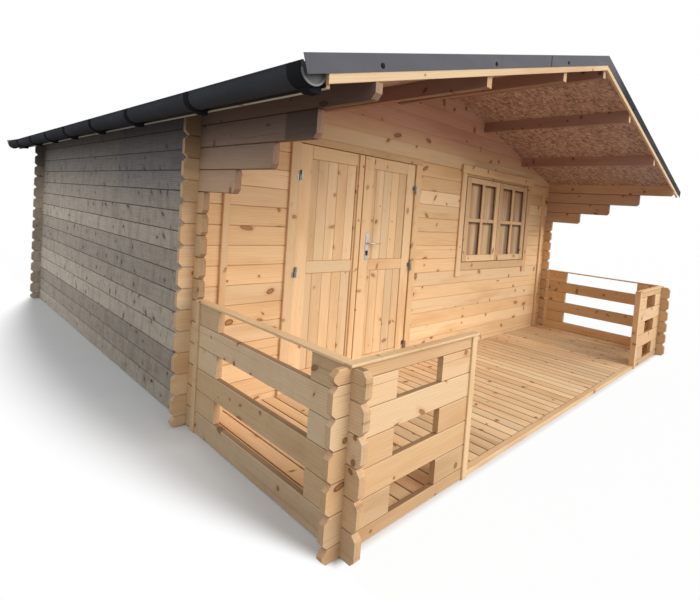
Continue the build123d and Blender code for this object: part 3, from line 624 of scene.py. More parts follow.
def skin(bm, rings, slot=0):
    """Close a row of like rings of points into a solid."""
    rows = [[bm.verts.new(point) for point in ring] for ring in rings]
    faces = [bm.faces.new(rows[0]), bm.faces.new(rows[-1])]
    for one, two in zip(rows, rows[1:]):
        for index in range(len(one)):
            after = (index + 1) % len(one)
            faces.append(bm.faces.new((one[index], one[after], two[after], two[index])))
    for face in faces:
        face.material_index = slot


def half_round(radius, first, steps):
    """Points on half a circle."""
    angles = [first + math.pi * step / steps for step in range(steps + 1)]
    return [(radius * math.cos(angle), radius * math.sin(angle)) for angle in angles]


def loose_boxes(node):
    """Lowest and highest corner of each solid of a node."""
    bm = bmesh.new()
    bm.from_mesh(nodes[node].data)
    bmesh.ops.remove_doubles(bm, verts=bm.verts, dist=1e-5)
    left = set(bm.verts)
    boxes = []
    while left:
        seed = left.pop()
        group, queue = [seed], [seed]
        while queue:
            for edge in queue.pop().link_edges:
                for vert in edge.verts:
                    if vert in left:
                        left.remove(vert)
                        group.append(vert)
                        queue.append(vert)
        low = Vector([min(v.co[i] for v in group) for i in range(3)])
        high = Vector([max(v.co[i] for v in group) for i in range(3)])
        boxes.append((low, high))
    bm.free()
    return sorted(boxes, key=lambda box: tuple(round(value, 4) for value in box[0]))


def corner_of(axis, own, one, two):
    """A corner of a box from its side on one axis and on the two others."""
    corner = [one, two]
    corner.insert(axis, own)
    return tuple(corner)


class Boards:
    """Collects eased boards and turns them into one piece that carries its own grain."""

    shift_most = 9.0
    ease_most_share = 0.3

    def __init__(self, seed):
        self.luck = random.Random(seed)
        self.points, self.faces, self.slots = [], [], []
        self.grain, self.tone, self.cut = [], [], []

    def add(self, low, high, ease, along=None, slot=0):
        """One board between two corners, its grain along its longest side unless told."""
        low, high = Vector(low), Vector(high)
        size = high - low
        order = sorted(range(3), key=lambda axis: -size[axis])
        if along is not None:
            order.remove(along)
            order.insert(0, along)
        ease = min(ease, self.ease_most_share * min(size))
        tone = self.luck.random()
        shift = [self.luck.uniform(0.0, self.shift_most) for _ in range(3)]
        corners = list(itertools.product((0, 1), repeat=3))
        places = {}
        for axis, corner in itertools.product(range(3), corners):
            point = [
                (high if corner[i] else low)[i] + (0.0 if i == axis else ease * (1 - 2 * corner[i])) for i in range(3)
            ]
            places[axis, corner] = len(self.points)
            self.points.append(point)
            self.grain.append([point[order[i]] + shift[i] for i in range(3)])
            self.tone.append(tone)

        def face(*keys, cut=0.0):
            self.faces.append([places[key] for key in keys])
            self.slots.append(slot)
            self.cut.append(cut)

        for axis, side in itertools.product(range(3), (0, 1)):
            quad = [(axis, corner_of(axis, side, *pair)) for pair in ((0, 0), (1, 0), (1, 1), (0, 1))]
            face(*quad, cut=1.0 if axis == order[0] else 0.0)
        for axis, one, two in itertools.product(range(3), (0, 1), (0, 1)):
            a, b = (other for other in range(3) if other != axis)
            near, far = corner_of(axis, 0, one, two), corner_of(axis, 1, one, two)
            face((a, near), (b, near), (b, far), (a, far))
        for corner in corners:
            face(*[(axis, corner) for axis in range(3)])

    def piece(self, name, *materials):
        """The boards as one object."""
        mesh = bpy.data.meshes.new(name)
        mesh.from_pydata(self.points, [], self.faces)
        mesh.update()
        for key, kind, domain, field, values in (
            ("grain", "FLOAT_VECTOR", "POINT", "vector", [value for point in self.grain for value in point]),
            ("tone", "FLOAT", "POINT", "value", self.tone),
            ("cut", "FLOAT", "FACE", "value", self.cut),
        ):
            mesh.attributes.new(key, kind, domain).data.foreach_set(field, values)
        mesh.polygons.foreach_set("material_index", self.slots)
        bm = bmesh.new()
        bm.from_mesh(mesh)
        bmesh.ops.recalc_face_normals(bm, faces=bm.faces)
        bm.to_mesh(mesh)
        bm.free()
        return piece_from(name, mesh, *materials)


def boards_for(node, name, seed, slot, ease, body=BODY):
    """Replace a node of plain boards by eased ones."""
    boards = Boards(seed)
    for low, high in loose_boxes(node):
        boards.add(low, high, ease)
    settle(boards.piece(name, board_finish()), body, slot, node)


class Tree:
    """A geometry node tree, written a few nodes at a time."""

    def __init__(self, name, **inputs):
        self.group = bpy.data.node_groups.new(name, "GeometryNodeTree")
        face = self.group.interface
        for label, kind in inputs.items():
            face.new_socket(name=label, in_out="INPUT", socket_type="NodeSocket" + kind)
        face.new_socket(name="Piece", in_out="OUTPUT", socket_type="NodeSocketGeometry")
        self.given = self.group.nodes.new("NodeGroupInput").outputs
        self.out = self.group.nodes.new("NodeGroupOutput").inputs[0]

    def add(self, kind, settings=(), numbered=(), **inputs):
        """The first output of a new node with its settings and inputs, by name or number."""
        node = self.group.nodes.new(kind)
        for key, value in dict(settings).items():
            setattr(node, key, value)
        named = {key.replace("_", " "): value for key, value in inputs.items()}
        for key, value in (*enumerate(numbered), *named.items()):
            if isinstance(value, bpy.types.NodeSocket):
                self.group.links.new(value, node.inputs[key])
            else:
                node.inputs[key].default_value = value
        return node.outputs[0]

    def close(self, geometry):
        """Realize what was made, give it its finish and end the tree."""
        real = self.add("GeometryNodeRealizeInstances", Geometry=geometry)
        painted = self.add("GeometryNodeSetMaterial", Geometry=real, Material=self.given["Material"])
        self.group.links.new(painted, self.out)
        return self.group


def grown(name, group, values, mesh=None):
    """A plain mesh object grown by a tree from its named inputs."""
    made = piece_from(name, mesh or bpy.data.meshes.new(name))
    modifier = made.modifiers.new(group.name, "NODES")
    modifier.node_group = group
    sockets = {item.name: item.identifier for item in group.interface.items_tree if item.in_out == "INPUT"}
    for key, value in values.items():
        modifier[sockets[key]] = value
    made.update_tag()
    graph = bpy.context.evaluated_depsgraph_get()
    result = bpy.data.meshes.new_from_object(made.evaluated_get(graph), depsgraph=graph)
    made.modifiers.clear()
    made.data = result
    result.name = name
    return made


def board_run_tree():
    """Boards side by side across X that run along Y."""
    t = Tree(
        "board_run", Start="Vector", Count="Int", Pitch="Float", Width="Float", Thickness="Float", Length="Float",
        Ease="Float", Wander="Float", Seed="Int", Material="Material",
    )
    g = t.given
    step = t.add("ShaderNodeCombineXYZ", X=g["Pitch"])
    line = t.add("GeometryNodeMeshLine", Count=g["Count"], Start_Location=g["Start"], Offset=step)
    low = t.add("ShaderNodeMath", {"operation": "MULTIPLY"}, (g["Wander"], -1.0))
    least, most = t.add("ShaderNodeCombineXYZ", Y=low), t.add("ShaderNodeCombineXYZ", Y=g["Wander"])
    stray = t.add("FunctionNodeRandomValue", {"data_type": "FLOAT_VECTOR"}, (least, most), Seed=g["Seed"])
    spread = t.add("GeometryNodeSetPosition", Geometry=line, Offset=stray)
    outline = t.add("GeometryNodeCurvePrimitiveQuadrilateral", Width=g["Width"], Height=g["Thickness"])
    eased = t.add("GeometryNodeFilletCurve", {"mode": "POLY"}, Curve=outline, Radius=g["Ease"], Count=2)
    end = t.add("ShaderNodeCombineXYZ", Y=g["Length"])
    path = t.add("GeometryNodeCurvePrimitiveLine", End=end)
    board = t.add("GeometryNodeCurveToMesh", Curve=path, Profile_Curve=eased, Fill_Caps=True)
    return t.close(t.add("GeometryNodeInstanceOnPoints", Points=spread, Instance=board))


def heads_tree():
    """Screw heads on points that carry the way they face."""
    t = Tree(
        "screw_heads", Points="Geometry", Radius="Float", Height="Float", Crown="Float", Sides="Int",
        Material="Material",
    )
    g = t.given
    head = t.add(
        "GeometryNodeMeshCone", Vertices=g["Sides"], Radius_Top=g["Crown"], Radius_Bottom=g["Radius"], Depth=g["Height"]
    )
    facing = t.add("GeometryNodeInputNamedAttribute", {"data_type": "FLOAT_VECTOR"}, Name="facing")
    turn = t.add("FunctionNodeAlignRotationToVector", {"axis": "Z"}, Vector=facing)
    points = t.add("GeometryNodeMeshToPoints", Mesh=g["Points"])
    return t.close(t.add("GeometryNodeInstanceOnPoints", Points=points, Instance=head, Rotation=turn))


def heads(name, spots, size, material, sides=10):
    """Screw heads of a radius and height at given places, each with the way it faces."""
    mesh = bpy.data.meshes.new(name + "_spots")
    mesh.from_pydata([place for place, facing in spots], [], [])
    layer = mesh.attributes.new("facing", "FLOAT_VECTOR", "POINT")
    layer.data.foreach_set("vector", [value for place, facing in spots for value in facing])
    group = bpy.data.node_groups.get("screw_heads") or heads_tree()
    radius, height = size
    return grown(name, group, {
        "Radius": radius, "Height": height, "Crown": radius * 0.6, "Sides": sides, "Material": material,
    }, mesh)


# Operators

class CABIN_OT_finish_logs(bpy.types.Operator):
    """Give the logs of the walls, gables and rails their wood."""

    bl_idname = "cabin.finish_logs"
    bl_label = "Finish the logs"

    def execute(self, context):
        """Side logs start with a whole row, front and back logs with half a row."""
        half = context.scene.cabin_timber.row * 0.5
        dress(finish_of(
            # The side logs' sawn ends are darker than the others: partly end grain, partly painted shade.
            "side_wall_softwood", timber, "YZX", worn=1.0, joint=0.005, seam=0.85, sawn_share=0.9, sawn_tone=0.75,
            # Painted shade under the roof on the front half, from 1.3 m up.
            dim=(1.3, 1.7), dim_tone=(0.84, 0.82, 1.0),
        ), "left_wall_logs", "right_wall_logs")
        dress(finish_of(
            "front_wall_softwood", timber, "XZY", start=half, worn=1.0, joint=0.003, seam=0.4, spread=0.16,
            # Painted shade under the roof on the front half, from 2.02 m up.
            dim=(2.02, 2.3), cell=0.22, knots=0.45,
        ), "front_wall_left_logs", "front_wall_right_logs", "front_gable_logs", "back_wall_logs", "back_gable_logs")
        dress(finish_of(
            "side_rail_softwood", timber, "YZX", worn=1.7, joint=0.003,
        ), "left_side_rail_logs", "right_side_rail_logs")
        dress(finish_of(
            "front_rail_softwood", timber, "XZY", start=half, worn=0.3, joint=0.003, tint=(0.9, 0.88, 0.88), cell=0.2,
        ), "left_front_rail_logs", "right_front_rail_logs")
        # The purlins' tint is painted shade under the roof: it makes them much darker and less yellow.
        dress(finish_of(
            "purlin_softwood", timber, "YZX", row_axis="X", row=0.5, tint=(0.47, 0.41, 0.58),
        ), "ridge_purlin", "side_purlins")
        return {"FINISHED"}


class CABIN_OT_finish_roof(bpy.types.Operator):
    """Give the roof its boards, sheets, flashings and gutter finish."""

    bl_idname = "cabin.finish_roof"
    bl_label = "Finish the roof"

    def execute(self, context):
        """Pressed boards below, coated metal above."""
        metal = context.scene.cabin_metal
        dress(finish_of("roof_strand_board", strand_board), "roof_boards_left", "roof_boards_right")
        dress(finish_of(
            "roof_sheet_coating", coated_metal, metal.sheet, 0.5, 0.5,
        ), "roof_sheet_left", "roof_sheet_right", "ridge_cap")
        dress(finish_of(
            "flashing_coating", coated_metal, metal.flashing, 0.5, 0.35, shine=0.06, laps=(-0.933, 0.696),
            # Painted shade on the right slope's flashing.
            right_share=0.12,
        ), "front_verge_flashing", "back_verge_flashing")
        dress(finish_of("gutter_coating", coated_metal, metal.gutter, 0.34, 0.3, shine=0.0), "gutter")
        dress(finish_of(
            "barge_softwood", timber, "XZY", row=3.0, slope=ROOF_SLOPE, pale=0.4,
        ), "front_barge_boards", "back_barge_boards")
        return {"FINISHED"}


class CABIN_OT_lay_boards(bpy.types.Operator):
    """Lay the boards of the veranda deck and of the cabin floor."""

    bl_idname = "cabin.lay_boards"
    bl_label = "Lay the deck and the floor"

    joint_shade = 0.004

    def execute(self, context):
        """Deck boards run from front to back with open gaps, floor boards lie tight."""
        sizes = context.scene.cabin_boards
        group = board_run_tree()
        for name, node, width, gap, wander, seed in (
            ("deck_boards", "veranda_deck", sizes.deck_width, sizes.deck_gap, sizes.wander, 3),
            ("floor_boards", "cabin_floor", sizes.floor_width, sizes.floor_gap, 0.0, 5),
        ):
            low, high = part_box(node)
            across, thick = high.x - low.x + gap, high.z - low.z
            count = round(across / (width + gap))
            pitch = across / count
            wood = finish_of(
                name + "_softwood", timber, "YXZ", row=pitch, start=low.x - gap * 0.5, pale=0.5, knots=0.4,
                joint=gap * 0.5 + self.joint_shade,
            )
            made = grown(name, group, {
                "Start": Vector((low.x + (pitch - gap) * 0.5, low.y + wander, low.z + thick * 0.5)), "Count": count,
                "Pitch": pitch, "Width": pitch - gap, "Thickness": thick, "Length": high.y - low.y - 2.0 * wander,
                "Ease": sizes.ease, "Wander": wander, "Seed": seed, "Material": wood,
            })
            settle(made, BODY, "deck_timber", node)
        return {"FINISHED"}


class CABIN_OT_fit_trim(bpy.types.Operator):
    """Ease the edges of the posts, frames, trim boards, battens and sill, and cap the rails."""

    bl_idname = "cabin.fit_trim"
    bl_label = "Fit the trim"

    def execute(self, context):
        """Each plain board becomes an eased one with its own grain, and thin caps stand in for the handrails."""
        sizes = context.scene.cabin_boards
        ease = sizes.ease
        boards_for("rail_posts", "post_boards", 11, "rail_logs", ease)
        caps = Boards(10)
        rails = loose_boxes("handrails")
        outer, front = max(high.x for low, high in rails), min(low.y for low, high in rails)
        for low, high in rails:
            left = low.x < 0.0
            high.z = low.z + sizes.cap_thick
            if high.x - low.x > high.y - low.y:
                high.y = low.y + sizes.cap_width
                low.x, high.x = (-outer, high.x) if left else (low.x, outer)
            else:
                low.y = front + sizes.cap_width
                low.x, high.x = (low.x, low.x + sizes.cap_width) if left else (high.x - sizes.cap_width, high.x)
            caps.add(low, high, ease * 0.7)
        settle(caps.piece("handrail_caps", board_finish()), BODY, "rail_logs", "handrails")
        for node, name, seed, slot, chamfer in (
            ("storm_battens", "batten_boards", 12, "door_timber", ease),
            ("entrance_sill", "sill_board", 13, "deck_timber", ease),
            ("door_frame", "door_frame_boards", 14, "door_timber", ease * 0.5),
            ("door_trim", "door_trim_boards", 15, "door_timber", ease),
            ("window_frame", "window_frame_boards", 16, "window_timber", ease * 0.5),
            ("window_trim", "window_trim_boards", 17, "window_timber", ease),
        ):
            boards_for(node, name, seed, slot, chamfer)
        return {"FINISHED"}


class CABIN_OT_hang_doors(bpy.types.Operator):
    """Build the two door leaves from stiles, rails and tongued boards."""

    bl_idname = "cabin.hang_doors"
    bl_label = "Hang the doors"

    def execute(self, context):
        """Each leaf has an upper and a lower panel of upright boards."""
        sizes = context.scene.cabin_boards
        wood = finish_of("door_softwood", timber, knots=0.36, pale=0.28)
        for side, seed, stiles in (
            ("left", 21, (sizes.stile, sizes.meeting_stile)), ("right", 22, (sizes.stile, sizes.stile)),
        ):
            node = side + "_door_leaf"
            low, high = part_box(node)
            boards = Boards(seed)
            left, right = low.x + stiles[0], high.x - stiles[1]
            for x0, x1 in ((low.x, left), (right, high.x)):
                boards.add((x0, low.y, low.z), (x1, high.y, high.z), sizes.ease)
            foot, head = low.z + sizes.bottom_rail, sizes.top_rail_low
            for z0, z1 in ((low.z, foot), (sizes.mid_rail_low, sizes.mid_rail_high), (head, high.z)):
                boards.add((left, low.y, z0), (right, high.y, z1), sizes.ease, along=0)
            count = math.ceil((right - left) / sizes.panel_board)
            edges = [left] + [right - index * sizes.panel_board for index in range(count - 1, -1, -1)]
            front, back = low.y + sizes.panel_recess, high.y - sizes.panel_recess
            for z0, z1 in ((foot, sizes.mid_rail_low), (sizes.mid_rail_high, head)):
                for x0, x1 in zip(edges, edges[1:]):
                    boards.add((x0, front, z0), (x1, back, z1), sizes.groove, along=2)
            settle(boards.piece(side + "_door_boards", wood), side + "_door", "door_timber", node)
        boards_for("meeting_strip", "meeting_strip_board", 23, "door_timber", sizes.ease * 1.4, body="left_door")
        steel = finish_of("hinge_plating", bare_metal, context.scene.cabin_metal.steel, 0.34)
        dress(steel, "left_leaf_hinges", "right_leaf_hinges", "frame_hinges")
        return {"FINISHED"}


class CABIN_OT_fit_handle(bpy.types.Operator):
    """Fit the handle plate, its lock barrel and the lever."""

    bl_idname = "cabin.fit_handle"
    bl_label = "Fit the handle"

    round_steps = 12
    bevel_deep, bevel_wide = 0.0012, 0.0016
    lock_up = 0.07
    barrels = ((0.006, 0.0125, 1), (0.0066, 0.0024, 0))
    blocks = (((0.014, 0.006, 0.028), 0.016, 1), ((0.0024, 0.0064, 0.008), 0.003, 0))
    lever_radius, neck_in = 0.0065, 0.009

    def execute(self, context):
        """The plate has round ends, and the lever a bent neck."""
        metal = context.scene.cabin_metal
        steel = finish_of("handle_brushed", bare_metal, metal.handle, 0.3)
        dark = finish_of("keyway_dark", coated_metal, metal.keyway, 0.5, 0.1, shine=0.05)
        low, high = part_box("handle_plate")
        settle(self.plate(low, high, steel), "right_door", "handle_metal", "handle_plate")
        settle(self.lock(low, high, steel, dark), "right_door", "handle_metal")
        settle(self.lever(context, steel), "door_lever", "handle_metal", "handle_lever")
        return {"FINISHED"}

    def plate(self, low, high, steel):
        """A long plate with round ends and a bevelled face."""
        middle, radius = (low.x + high.x) * 0.5, (high.x - low.x) * 0.5
        rings = []
        for y, shrink in ((high.y, 0.0), (low.y + self.bevel_deep, 0.0), (low.y, self.bevel_wide)):
            rings.append([
                (middle + x, y, centre + z)
                for centre, first in ((high.z - radius, 0.0), (low.z + radius, math.pi))
                for x, z in half_round(radius - shrink, first, self.round_steps)
            ])
        bm = bmesh.new()
        skin(bm, rings)
        return shaped("plate_rounded", bm, steel)

    def lock(self, low, high, steel, dark):
        """A dark barrel with a bright keyway: round above, straight below."""
        at = Vector(((low.x + high.x) * 0.5, low.y, low.z + self.lock_up))
        bm = bmesh.new()
        made = []
        for depth, radius, slot in self.barrels:
            place = Matrix.Translation(at + Vector((0.0, -depth * 0.5, 0.0))) @ LIE_ALONG_Y
            made.append((slot, bmesh.ops.create_cone(
                bm, cap_ends=True, segments=20, radius1=radius, radius2=radius * 0.94, depth=depth, matrix=place
            )))
        for size, drop, slot in self.blocks:
            place = Matrix.Translation(at + Vector((0.0, -size[1] * 0.5, -drop))) @ Matrix.Diagonal((*size, 1.0))
            made.append((slot, bmesh.ops.create_cube(bm, size=1.0, matrix=place)))
        for slot, form in made:
            for vert in form["verts"]:
                for face in vert.link_faces:
                    face.material_index = slot
        return shaped("lock_barrel", bm, steel, dark)

    def lever(self, context, steel):
        """A round bar that comes out of the door and bends to the right."""
        low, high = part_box("handle_lever")
        neck, out, up = low.x + self.neck_in, low.y, (low.z + high.z) * 0.5
        path = (
            (neck, high.y, up, 1.0), (neck, high.y - 0.02, up, 0.9), (neck, out + 0.012, up, 0.85),
            (neck + 0.004, out + 0.007, up, 0.9), (neck + 0.016, out + 0.006, up + 0.001, 1.0),
            (neck + 0.06, out + 0.006, up + 0.001, 0.95), (high.x - 0.01, out + 0.007, up - 0.001, 0.85),
            (high.x, out + 0.009, up - 0.002, 0.6),
        )
        curve = bpy.data.curves.new("lever_line", "CURVE")
        curve.dimensions = "3D"
        curve.bevel_depth = self.lever_radius
        curve.bevel_resolution = 4
        curve.use_fill_caps = True
        spline = curve.splines.new("NURBS")
        spline.points.add(len(path) - 1)
        for point, (x, y, z, thick) in zip(spline.points, path):
            point.co = (x, y, z, 1.0)
            point.radius = thick
        spline.order_u = 3
        spline.use_endpoint_u = True
        spline.resolution_u = 6
        line = bpy.data.objects.new("lever_line", curve)
        context.scene.collection.objects.link(line)
        graph = bpy.context.evaluated_depsgraph_get()
        mesh = bpy.data.meshes.new_from_object(line.evaluated_get(graph), depsgraph=graph)
        bpy.data.objects.remove(line)
        for polygon in mesh.polygons:
            polygon.use_smooth = True
        mesh.name = "lever_rounded"
        return piece_from("lever_rounded", mesh, steel)


class CABIN_OT_glaze_window(bpy.types.Operator):
    """Build the sashes with their bars and the dark strips of painted shade round and between them, and give the glass
    its finish.
    """

    bl_idname = "cabin.glaze_window"
    bl_label = "Glaze the window"

    bar_back = 0.004
    seal_back, seal_front, seal_deep, seal_ease = 0.002, 0.002, 0.012, 0.0005
    meeting_half, meeting_out, meeting_in, meeting_ease = 0.0022, 0.0007, 0.001, 0.0002

    def execute(self, context):
        """Each sash has four panes behind one upright and one level bar."""
        sizes = context.scene.cabin_boards
        sashes, bars, seals = Boards(31), Boards(32), Boards(33)
        boxes = loose_boxes("window_sashes")
        (left_low, left_high), (right_low, right_high) = boxes
        wide, ease = sizes.sash, sizes.ease
        half, bar_low = sizes.bar * 0.5, sizes.level_bar_at - sizes.level_bar * 0.5
        glass_low, glass_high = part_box("window_glass")
        for low, high in boxes:
            foot, head = low.z + sizes.sash_foot, high.z - sizes.sash_head
            left, right, middle = low.x + wide, high.x - wide, (low.x + high.x) * 0.5
            for x0, x1 in ((low.x, left), (right, high.x)):
                sashes.add((x0, low.y, low.z), (x1, high.y, high.z), ease)
            for z0, z1 in ((low.z, foot), (head, high.z)):
                sashes.add((left, low.y, z0), (right, high.y, z1), ease, along=0)
            for y0, y1 in ((low.y + self.bar_back, glass_low.y), (glass_high.y, high.y - self.bar_back)):
                bars.add((middle - half, y0, foot), (middle + half, y1, head), ease)
                for x0, x1 in ((left, middle - half), (middle + half, right)):
                    bars.add((x0, y0, bar_low), (x1, y1, bar_low + sizes.level_bar), ease, along=0)

        # Dark strips of painted shade in the gaps round each sash and between the two sashes.
        trim_face = min(low.y for low, high in loose_boxes("window_trim"))
        seal = sizes.seal
        for (low, high), x in zip(boxes, (left_low.x - seal, right_high.x)):
            near, far = max(low.y + self.seal_back, trim_face - self.seal_front), low.y + self.seal_deep
            seals.add((x, near, low.z - seal), (x + seal, far, high.z + seal), self.seal_ease)
            for z in (low.z - seal, high.z):
                seals.add((low.x, near, z), (high.x, far, z + seal), self.seal_ease)
        middle = (left_high.x + right_low.x) * 0.5
        seals.add(
            (middle - self.meeting_half, left_low.y - self.meeting_out, left_low.z),
            (middle + self.meeting_half, left_low.y + self.meeting_in, left_high.z), self.meeting_ease,
        )
        rubber = finish_of("seal_rubber", coated_metal, context.scene.cabin_metal.rubber, 0.7, 0.0, shine=0.0)
        settle(seals.piece("sash_seals", rubber), BODY, "window_timber")
        settle(sashes.piece("sash_boards", board_finish()), BODY, "window_timber", "window_sashes")
        settle(bars.piece("window_bars", board_finish()), BODY, "window_timber")
        dress(finish_of("window_pane_glass", window_pane), "window_glass")
        return {"FINISHED"}


class CABIN_OT_drive_screws(bpy.types.Operator):
    """Drive the screws of the roof sheets, flashings and hinges."""

    bl_idname = "cabin.drive_screws"
    bl_label = "Drive the screws"

    flashing_x, flashing_drop, flashing_head = (-2.345, -1.542, -0.692, 0.69, 1.54, 2.345), 0.05, (0.0125, 0.004)
    ribs, rib_pitch, rib_step, edge_clear = 48, 0.131, 3, 0.12
    rows, first_row, row_pitch, sheet_head = 5, 0.35, 0.55, (0.009, 0.005)
    hinge_in, hinge_sunk, hinge_head = 0.012, 0.0032, (0.0045, 0.002)
    left_hinges_end = -1.3

    def execute(self, context):
        """Heads stand on the metal that they hold."""
        metal = context.scene.cabin_metal
        coated = finish_of("screw_coating", coated_metal, toned(metal.gutter, 0.3), 0.5, 0.2, shine=0.02)
        plated = finish_of("screw_plating", bare_metal, metal.steel, 0.35)
        for side, facing in (("front", TO_FRONT), ("back", TO_BACK)):
            low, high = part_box(side + "_verge_flashing")
            face = low.y if side == "front" else high.y
            spots = [((x, face, high.z - abs(x) * ROOF_SLOPE - self.flashing_drop), facing) for x in self.flashing_x]
            settle(heads(side + "_flashing_screws", spots, self.flashing_head, coated), BODY, "verge_metal")
        settle(heads("roof_sheet_screws", self.on_ribs(), self.sheet_head, coated, 8), BODY, "roof_metal")
        for node, body in (
            ("left_leaf_hinges", "left_door"), ("right_leaf_hinges", "right_door"), ("frame_hinges", BODY),
        ):
            made = heads(node.replace("hinges", "hinge_screws"), self.on_hinges(node), self.hinge_head, plated)
            settle(made, body, "hinge_metal")
        return {"FINISHED"}

    def on_ribs(self):
        """Places on every third rib of both roof slopes."""
        low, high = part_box("roof_sheet_left")
        first = (low.y + high.y - (self.ribs - 1) * self.rib_pitch) * 0.5
        tilt = math.atan(ROOF_SLOPE)
        spots = []
        for side, row in itertools.product((-1, 1), range(self.rows)):
            x = side * (self.first_row + row * self.row_pitch)
            facing = (side * math.sin(tilt), 0.0, math.cos(tilt))
            for rib in range(1, self.ribs, self.rib_step):
                y = first + rib * self.rib_pitch
                if low.y + self.edge_clear < y < high.y - self.edge_clear:
                    spots.append(((x, y, high.z - abs(x) * ROOF_SLOPE), facing))
        return spots

    def on_hinges(self, node):
        """Two places on each hinge plate, away from its knuckle."""
        spots = []
        for low, high in loose_boxes(node):
            at_left = low.x < self.left_hinges_end if node == "frame_hinges" else node.startswith("right")
            x = low.x + self.hinge_in if at_left else high.x - self.hinge_in
            for up in (0.25, 0.75):
                spots.append(((x, high.y - self.hinge_sunk, low.z + (high.z - low.z) * up), TO_FRONT))
        return spots


class CABIN_OT_dress_gutter(bpy.types.Operator):
    """Add the rolled edge of the gutter, its clips and caps and the board that carries them."""

    bl_idname = "cabin.dress_gutter"
    bl_label = "Dress the gutter"

    bead_in, bead_radius = 0.004, 0.006
    first_clip, clip_wide = (-3.093, 0.082), 0.05
    clip_places = (-2.165, -1.262, -0.46, 0.34, 1.08, 1.82, 2.6)
    clip_clear, clip_thick, clip_steps, foot_share = 0.0006, 0.0045, 14, 0.36
    cap_clear, cap_thick, cap_steps, cap_inner_rise = 0.0004, 0.002, 20, 0.02
    rim_in, rim_out, rim_thick = 0.005, 0.002, 0.006
    fascia_clear, fascia_step, fascia_edge, fascia_ease_share = 0.0005, 0.001, 0.002, 0.3

    def execute(self, context):
        """A bead runs along the outer edge, clips hold the trough, and a fascia closes the roof boards."""
        metal = context.scene.cabin_metal
        low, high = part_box("gutter")
        self.radius = (high.x - low.x) * 0.5
        self.middle, self.rim = low.x + self.radius, low.z + self.radius
        self.rise, self.back = high.z - self.rim, high.x + self.fascia_clear

        bm = bmesh.new()
        bmesh.ops.create_cone(
            bm, cap_ends=True, segments=12, radius1=self.bead_radius, radius2=self.bead_radius, depth=high.y - low.y,
            matrix=Matrix.Translation((low.x + self.bead_in, (low.y + high.y) * 0.5, high.z)) @ LIE_ALONG_Y,
        )
        settle(shaped("gutter_bead", bm, finishes["gutter_coating"]), BODY, "gutter_metal")

        bm = bmesh.new()
        for place, wide in (self.first_clip, *((y, self.clip_wide) for y in self.clip_places)):
            self.clip(bm, place, wide)
        coating = finish_of("clip_coating", coated_metal, toned(metal.gutter, 0.4), 0.45, 0.2, shine=0.0)
        settle(shaped("gutter_clips", bm, coating), BODY, "gutter_metal", "gutter_brackets")

        bm = bmesh.new()
        for face, outward in ((low.y, -1.0), (high.y, 1.0)):
            self.cap(bm, face, outward)
        coating = finish_of("cap_coating", coated_metal, metal.cap, 0.45, 0.2, shine=0.1)
        # The cap's rim is painted twice as light as the cap: a painted highlight.
        rim_coating = finish_of("cap_rim_coating", coated_metal, toned(metal.cap, 2.0), 0.45, 0.2, shine=0.1)
        settle(shaped("gutter_caps", bm, coating, rim_coating), BODY, "gutter_metal")
        settle(self.fascia(context.scene.cabin_boards), BODY, "barge_timber")
        return {"FINISHED"}

    def prism(self, bm, shape, ends, slot=0):
        """A solid with one outline, measured from the trough's axis, between two places along it."""
        skin(bm, [[(self.middle + x, y, self.rim + z) for x, z in shape] for y in ends], slot)

    def clip(self, bm, place, wide):
        """One strap round the trough with a foot against the fascia."""
        inner, outer = self.radius + self.clip_clear, self.radius + self.clip_thick
        inside, outside = (half_round(radius, math.pi, self.clip_steps) for radius in (inner, outer))
        strap = [(-outer, self.rise), (-inner, self.rise), *inside, *reversed(outside)]
        back = self.back - self.middle - self.fascia_clear
        foot = [
            (-0.012, -outer - 0.0002), (0.01, -outer - 0.014), (back, -outer - 0.012), (back, -outer * 0.55),
            (outer * 0.86, -outer * 0.55), (outer * 0.62, -outer * 0.8),
        ]
        for shape, half in ((strap, wide * 0.5), (foot, wide * self.foot_share)):
            self.prism(bm, shape, (place - half, place + half))

    def cap(self, bm, face, outward):
        """An end cap with a raised rim, a hair outside the trough's end."""
        plain, inner, outer = (
            half_round(radius, math.pi, self.cap_steps)
            for radius in (self.radius, self.radius - self.rim_in, self.radius + self.rim_out)
        )
        disc = [(-self.radius, self.rise), *plain, (self.radius, self.cap_inner_rise)]
        for shape, near, far, slot in (
            (disc, self.cap_clear, self.cap_thick, 0), ([*outer, *reversed(inner)], self.cap_thick, self.rim_thick, 1),
        ):
            self.prism(bm, shape, (face + outward * near, face + outward * far), slot)

    def fascia(self, sizes):
        """A board behind the gutter: its face painted dark as the gutter's shade and its lower edge painted pale as a
        highlight.
        """
        low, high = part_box("roof_boards_left")
        boards = Boards(41)
        inner, edge = self.back + sizes.fascia_thick, sizes.fascia_low + self.fascia_edge
        ease = sizes.ease * self.fascia_ease_share
        boards.add(
            (self.back + self.fascia_step, low.y, edge), (inner, high.y, low.z - self.fascia_step), ease, slot=1
        )
        boards.add((self.back, low.y, sizes.fascia_low), (inner, high.y, edge), ease)
        # Painted shade on the face of the board and a painted highlight on its lower edge.
        stained = finish_of("fascia_stained", timber, knots=0.3, tint=(0.07, 0.075, 0.095))
        pale = finish_of("fascia_softwood", timber, knots=0.3, tint=(0.6, 0.92, 1.4))
        return boards.piece("eave_fascia", pale, stained)


